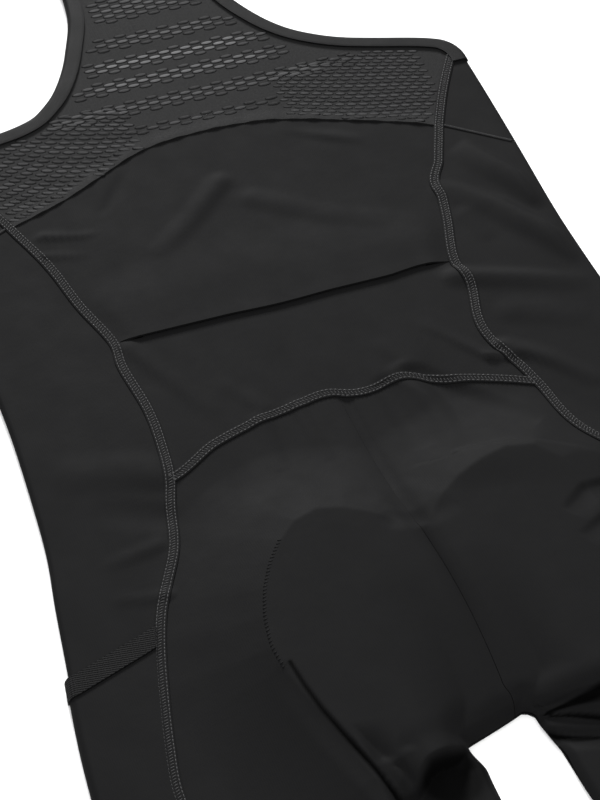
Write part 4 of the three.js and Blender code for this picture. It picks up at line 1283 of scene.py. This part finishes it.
# The cells with painted light and the rims with painted shade under them, in metres, and how far the cells
# stand over the cloth
NET_CELL = {"Width": 0.0066, "Height": 0.0024, "Rise": 0.0005}
NET_RIM = {"Width": 0.0076, "Height": 0.0036, "Rise": 0.0002}
CELL_HEIGHT = 0.12
# The yoke's lower edge stands over the back panel's seam, higher and lower in turn along it
YOKE_LIP = {"rise": 1.1, "reach": 7, "wave": 0.3}
# How far the cells stay from the yoke's edges
CELL_MARGIN = {"seam": 1.8, "gusset": 5, "binding": 12, "ahead": 8, "ahead_binding": 3, "top_y": 640}


class BIBSHORTS_OT_yoke(PieceOperator, bpy.types.Operator):
    """Racerback yoke of banded net with raised cells, and its two back straps"""
    bl_idname = "bib_shorts.yoke"
    bl_label = "Net Yoke"

    def execute(self, context):
        grid, keep = yoke_grid(self.cell)
        cloth_piece(
            "yoke_net", grid, "net", ["yoke_mesh"], ["front_strap_left", "front_strap_right"], keep=keep,
            lift=self.lip(grid[0][..., 0], grid[0][..., 1]))
        self.cells()
        return {"FINISHED"}

    @staticmethod
    def lip(x, y):
        """The lift of the yoke's lower edge, which lies over the back panel's seam."""
        above_seam = y - YOKE_Y + YOKE_DIP * (x / YOKE_HALF) ** 2
        ragged = 1 - YOKE_LIP["wave"] + YOKE_LIP["wave"] * np.sin(x * 0.41) * np.sin(x * 0.173 + 1)
        rise = YOKE_LIP["rise"] * ragged * np.exp(-((above_seam / YOKE_LIP["reach"]) ** 2))
        return rise * (y < ARMPIT_Y + 1)

    @staticmethod
    def band_places():
        """Cells of the bands across the middle, as x, y, glow, size and turn."""
        for low, count, glow, reach in NET_BANDS:
            for row in range(count):
                from_middle = abs(2 * row / (count - 1) - 1)
                row_glow = glow * (1 - BAND_FADE["row_loss"] * from_middle**2)
                for column in NET_COLUMNS:
                    x = NET_MIDDLE + (column + 0.5 * (row % 2)) * NET_PITCH
                    fade = mix(BAND_FADE["least"], 1, float(smooth((reach - abs(x)) / BAND_FADE["reach"])))
                    if abs(x) < reach + BAND_FADE["past_end"]:
                        yield x, low + NET_ROW * row, row_glow * fade, 1, 0

    @staticmethod
    def wing_places():
        """Cells of the slanted rows on the yoke's lower sides, smaller towards the rows' ends."""
        for from_x, to_x, row_step, pitch, glow, size, slope in NET_WINGS:
            for row in range(NET_WING_ROWS):
                for column in range(int((to_x - from_x) / pitch)):
                    x = from_x + (column + 0.5 * (row % 2)) * pitch
                    y = LOW_CELL_Y + row_step * row + slope * (x - (from_x if slope > 0 else to_x))
                    fade = float(smooth(min(x - from_x, to_x - x) / WING_FADE + 0.5))
                    # Painted glints: the cells' painted light rises and falls along the rows
                    glint = glow * (0.6 + 0.4 * math.sin(x * 1.7 + y * 2.3))
                    if y < NET_WING_TOP_Y and size * fade > LEAST_CELL:
                        yield x, y, glint, size * fade, math.atan(slope)

    def cells(self):
        places = [*self.band_places(), *self.wing_places()]
        x, y, glow, size, turn = np.array([place for place in places if self.on_yoke(*place[:2])]).T
        points, out = on_cover(x, y)
        lip = self.lip(x, y)[:, None]
        for name, finish, height, lens in (
            ("net_rims", "net_gap", 0.0, NET_RIM), ("net_cells", "net_cell", CELL_HEIGHT, NET_CELL),
        ):
            mesh = bpy.data.meshes.new(f"{name}_places")
            mesh.from_pydata(to_metres(points + out * (WALL / 2 + height + lip)).tolist(), [], [])
            # Glow is the cells' painted light, and it also sets the rims' painted shade
            for label, values in (("glow", glow), ("size", size), ("turn", turn)):
                mesh.attributes.new(label, "FLOAT", "POINT").data.foreach_set("value", values)
            mesh.attributes.new("way_out", "FLOAT_VECTOR", "POINT").data.foreach_set("vector", out.ravel())
            source = bpy.data.objects.new(f"{name}_places", mesh)
            bpy.context.scene.collection.objects.link(source)
            finish_piece(add_piece(name, grown(name, source, cell_tree(), finish, **lens), finish))

    @staticmethod
    def on_yoke(x, y):
        seam_y = YOKE_Y - YOKE_DIP * (x / YOKE_HALF) ** 2 + CELL_MARGIN["seam"]
        if y < seam_y or y > CELL_MARGIN["top_y"]:
            return False
        if y < ARMPIT_Y - 6:
            return abs(x) < gusset_seam(y) - CELL_MARGIN["gusset"]
        edge = armhole[-1 if x < 0 else 1]
        ahead = edge(y + CELL_MARGIN["ahead"]) - CELL_MARGIN["ahead_binding"]
        return abs(x) < edge(y) - CELL_MARGIN["binding"] and abs(x) < ahead


# One layer's width at the leg, which sets how many cells its band gets
LEG_WIDTH = 150


class BIBSHORTS_OT_leg_bands(PieceOperator, bpy.types.Operator):
    """Elastic leg bands: a flattened tube round the end of each leg"""
    bl_idname = "bib_shorts.leg_bands"
    bl_label = "Leg Bands"

    def execute(self, context):
        y = mix(HEM_Y, LEG_BAND_TOP_Y - HALF_GAP, steps(LEG_BAND_TOP_Y - HEM_Y, self.cell))[:, None]
        for name, side in SIDES:
            outer_x = fold_start(y)
            inner_x = leg_inner(y) + WALL / 2 + FOLD_RADIUS
            turn = np.linspace(0, np.pi, FOLD_TURNS)[None, :]
            run = steps(LEG_WIDTH, self.cell)[None, 1:-1]
            outside = on_arc(side, outer_x, y, np.pi / 2 - turn)
            below = on_level(side * mix(outer_x, inner_x, run), y, FOLD_Z - FOLD_RADIUS, -1)
            inside = on_arc(side, inner_x, y, -np.pi / 2 - turn)
            above = on_level(side * mix(inner_x, outer_x, run), y, FOLD_Z + FOLD_RADIUS, 1)
            grid = join_rows(outside, below, inside, above)
            cloth_piece(
                f"leg_elastic_{name}", grid, "elastic", [f"leg_band_{name}"], [], closed=True, flip=side < 0)
        return {"FINISHED"}


class BIBSHORTS_OT_bindings(PieceOperator, bpy.types.Operator):
    """Bindings sewn over the armhole and neck edges"""
    bl_idname = "bib_shorts.bindings"
    bl_label = "Bindings"

    def execute(self, context):
        for name, side in SIDES:
            cloth_piece(
                f"armhole_tape_{name}", binding_grid(armhole_path(side), side), "binding",
                [f"armhole_binding_{name}"], ["yoke_mesh"], wall=BINDING_WALL, flip=side < 0)
        cloth_piece(
            "neck_tape", binding_grid(neck_path(), -1), "binding", ["neck_binding"], ["yoke_mesh"],
            wall=BINDING_WALL, flip=True)
        return {"FINISHED"}


class BIBSHORTS_OT_seams(PieceOperator, bpy.types.Operator):
    """Flatlock seams with their rows of stitches, the gusset hems and the stitches along the pad"""
    bl_idname = "bib_shorts.seams"
    bl_label = "Seams and Stitches"

    def execute(self, context):
        pitch = context.scene.bib_shorts.stitch_pitch
        straight = {"Pitch": pitch, "Length": pitch * ROW_LENGTH, **ROW_THREAD}
        crossed = {"Pitch": pitch * CROSS_PITCH, **CROSS_THREAD}
        for name, path in seam_paths().items():
            self.tape(name, path, "jersey", SEAM_TAPE)
            beside = sideways(path) * ROW_BESIDE
            rows = [lifted_path(path + way * beside, ROW_HEIGHT) for way in (-1, 1)]
            self.stitches(f"{name}_rows", rows, "thread", straight)
            self.stitches(f"{name}_cross", [lifted_path(path, CROSS_HEIGHT)], "thread", crossed)
        for name, side in SIDES:
            self.tape(f"gusset_hem_{name}", gusset_hem_path(side), "thread", HEM_TAPE)
        lobe = rounded(np.array([(-x, y) for x, y in PAD_HALF[PAD_STITCHED]], float))
        self.stitches("pad_stitches", [lifted_path(lobe, PAD_THREAD_HEIGHT)], "binding", PAD_THREAD)
        return {"FINISHED"}

    @staticmethod
    def tape(name, path, finish, sizes):
        finish_piece(add_piece(name, seam_tape(name, path, **sizes), finish))

    @staticmethod
    def stitches(name, paths, finish, sizes):
        mesh = grown(name, curve_object(name, paths), stitch_tree(), finish, **sizes)
        finish_piece(add_piece(name, mesh, finish))


class BIBSHORTS_OT_fronts(PieceOperator, bpy.types.Operator):
    """Front panels, front straps and seat pad, which lie underneath and keep their frame shapes"""
    bl_idname = "bib_shorts.fronts"
    bl_label = "Front Panels, Straps and Pad"

    def execute(self, context):
        for name, _ in SIDES:
            for node, finish in ((f"front_{name}", "jersey"), (f"front_strap_{name}", "net")):
                self.paint(node, finish)
        self.paint("seat_pad", "padding")
        return {"FINISHED"}

    @staticmethod
    def paint(node, finish):
        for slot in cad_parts[node].material_slots:
            slot.material = finish_named(finish)


FLOOR_HALF = 6.0
WORLD_LIGHT = 0.85
# Softboxes: place, aim and side in metres, and power in watts
SOFTBOXES = {
    "back_softbox": ((1.6, 9.6, 3.8), (0, 0, 0), 2.4, 1760),
    "top_softbox": ((-0.2, -1.2, 2.2), (0, -0.1, 0), 2.2, 46),
}
CAMERA = {"lens": 144, "distance": 1.6, "aim_x": -16.8, "aim_y": 241.3, "sees_to": 50}


class BIBSHORTS_OT_stage(bpy.types.Operator):
    """Pale floor, soft studio light and the camera"""
    bl_idname = "bib_shorts.stage"
    bl_label = "Studio"

    def execute(self, context):
        settings = context.scene.bib_shorts
        self.floor()
        self.world()
        self.lights()
        self.camera(settings)
        context.scene.view_settings.view_transform = "Standard"
        return {"FINISHED"}

    def floor(self):
        mesh = bpy.data.meshes.new("studio_floor")
        corners = [(x * FLOOR_HALF, y * FLOOR_HALF, 0) for x, y in ((-1, -1), (1, -1), (1, 1), (-1, 1))]
        mesh.from_pydata(corners, [], [(0, 1, 2, 3)])
        mesh.materials.append(floor_finish())
        floor = bpy.data.objects.new("studio_floor", mesh)
        bpy.context.scene.collection.objects.link(floor)

    def world(self):
        world = bpy.data.worlds.new("studio")
        world.use_nodes = True
        background = world.node_tree.nodes["Background"]
        background.inputs["Color"].default_value = (1, 1, 1, 1)
        background.inputs["Strength"].default_value = WORLD_LIGHT
        bpy.context.scene.world = world

    def lights(self):
        for name, (place, aim, size, power) in SOFTBOXES.items():
            data = bpy.data.lights.new(name, "AREA")
            data.shape = "SQUARE"
            data.size = size
            data.energy = power
            light = bpy.data.objects.new(name, data)
            light.location = place
            light.rotation_euler = (Vector(aim) - Vector(place)).to_track_quat("-Z", "Y").to_euler()
            bpy.context.scene.collection.objects.link(light)

    def camera(self, settings):
        turn, height = settings.camera_turn, settings.camera_height
        level = math.cos(height)
        back = Vector((math.sin(turn) * level, -math.cos(turn) * level, math.sin(height)))
        aim = Vector((CAMERA["aim_x"], CAMERA["aim_y"] - ORIGIN_Y, 0)) * MM
        data = bpy.data.cameras.new("photo_camera")
        data.lens = CAMERA["lens"]
        data.clip_end = CAMERA["sees_to"]
        camera = bpy.data.objects.new("photo_camera", data)
        camera.location = aim + back * CAMERA["distance"]
        camera.rotation_euler = back.to_track_quat("Z", "Y").to_euler()
        bpy.context.scene.collection.objects.link(camera)
        bpy.context.scene.camera = camera


OPERATORS = (
    BIBSHORTS_OT_back, BIBSHORTS_OT_seat, BIBSHORTS_OT_sides, BIBSHORTS_OT_thigh_pockets,
    BIBSHORTS_OT_yoke, BIBSHORTS_OT_leg_bands, BIBSHORTS_OT_bindings, BIBSHORTS_OT_seams,
    BIBSHORTS_OT_fronts, BIBSHORTS_OT_stage,
)


class BIBSHORTS_PT_panel(bpy.types.Panel):
    """Sizes, colours and steps of the bib shorts"""
    bl_idname = "BIBSHORTS_PT_panel"
    bl_label = "Bib Shorts"
    bl_space_type = "VIEW_3D"
    bl_region_type = "UI"
    bl_category = "Bib Shorts"

    def draw(self, context):
        for name in BibShortsSettings.__annotations__:
            self.layout.prop(context.scene.bib_shorts, name)
        for operator in OPERATORS:
            self.layout.operator(operator.bl_idname)


CLASSES = (BibShortsSettings, *OPERATORS, BIBSHORTS_PT_panel)


def register():
    for cls in CLASSES:
        bpy.utils.register_class(cls)
    bpy.types.Scene.bib_shorts = bpy.props.PointerProperty(type=BibShortsSettings)


def unregister():
    del bpy.types.Scene.bib_shorts
    for cls in reversed(CLASSES):
        bpy.utils.unregister_class(cls)


def main():
    register()
    for operator in OPERATORS:
        group, name = operator.bl_idname.split(".")
        getattr(getattr(bpy.ops, group), name)()


if __name__ == "__main__":
    main()
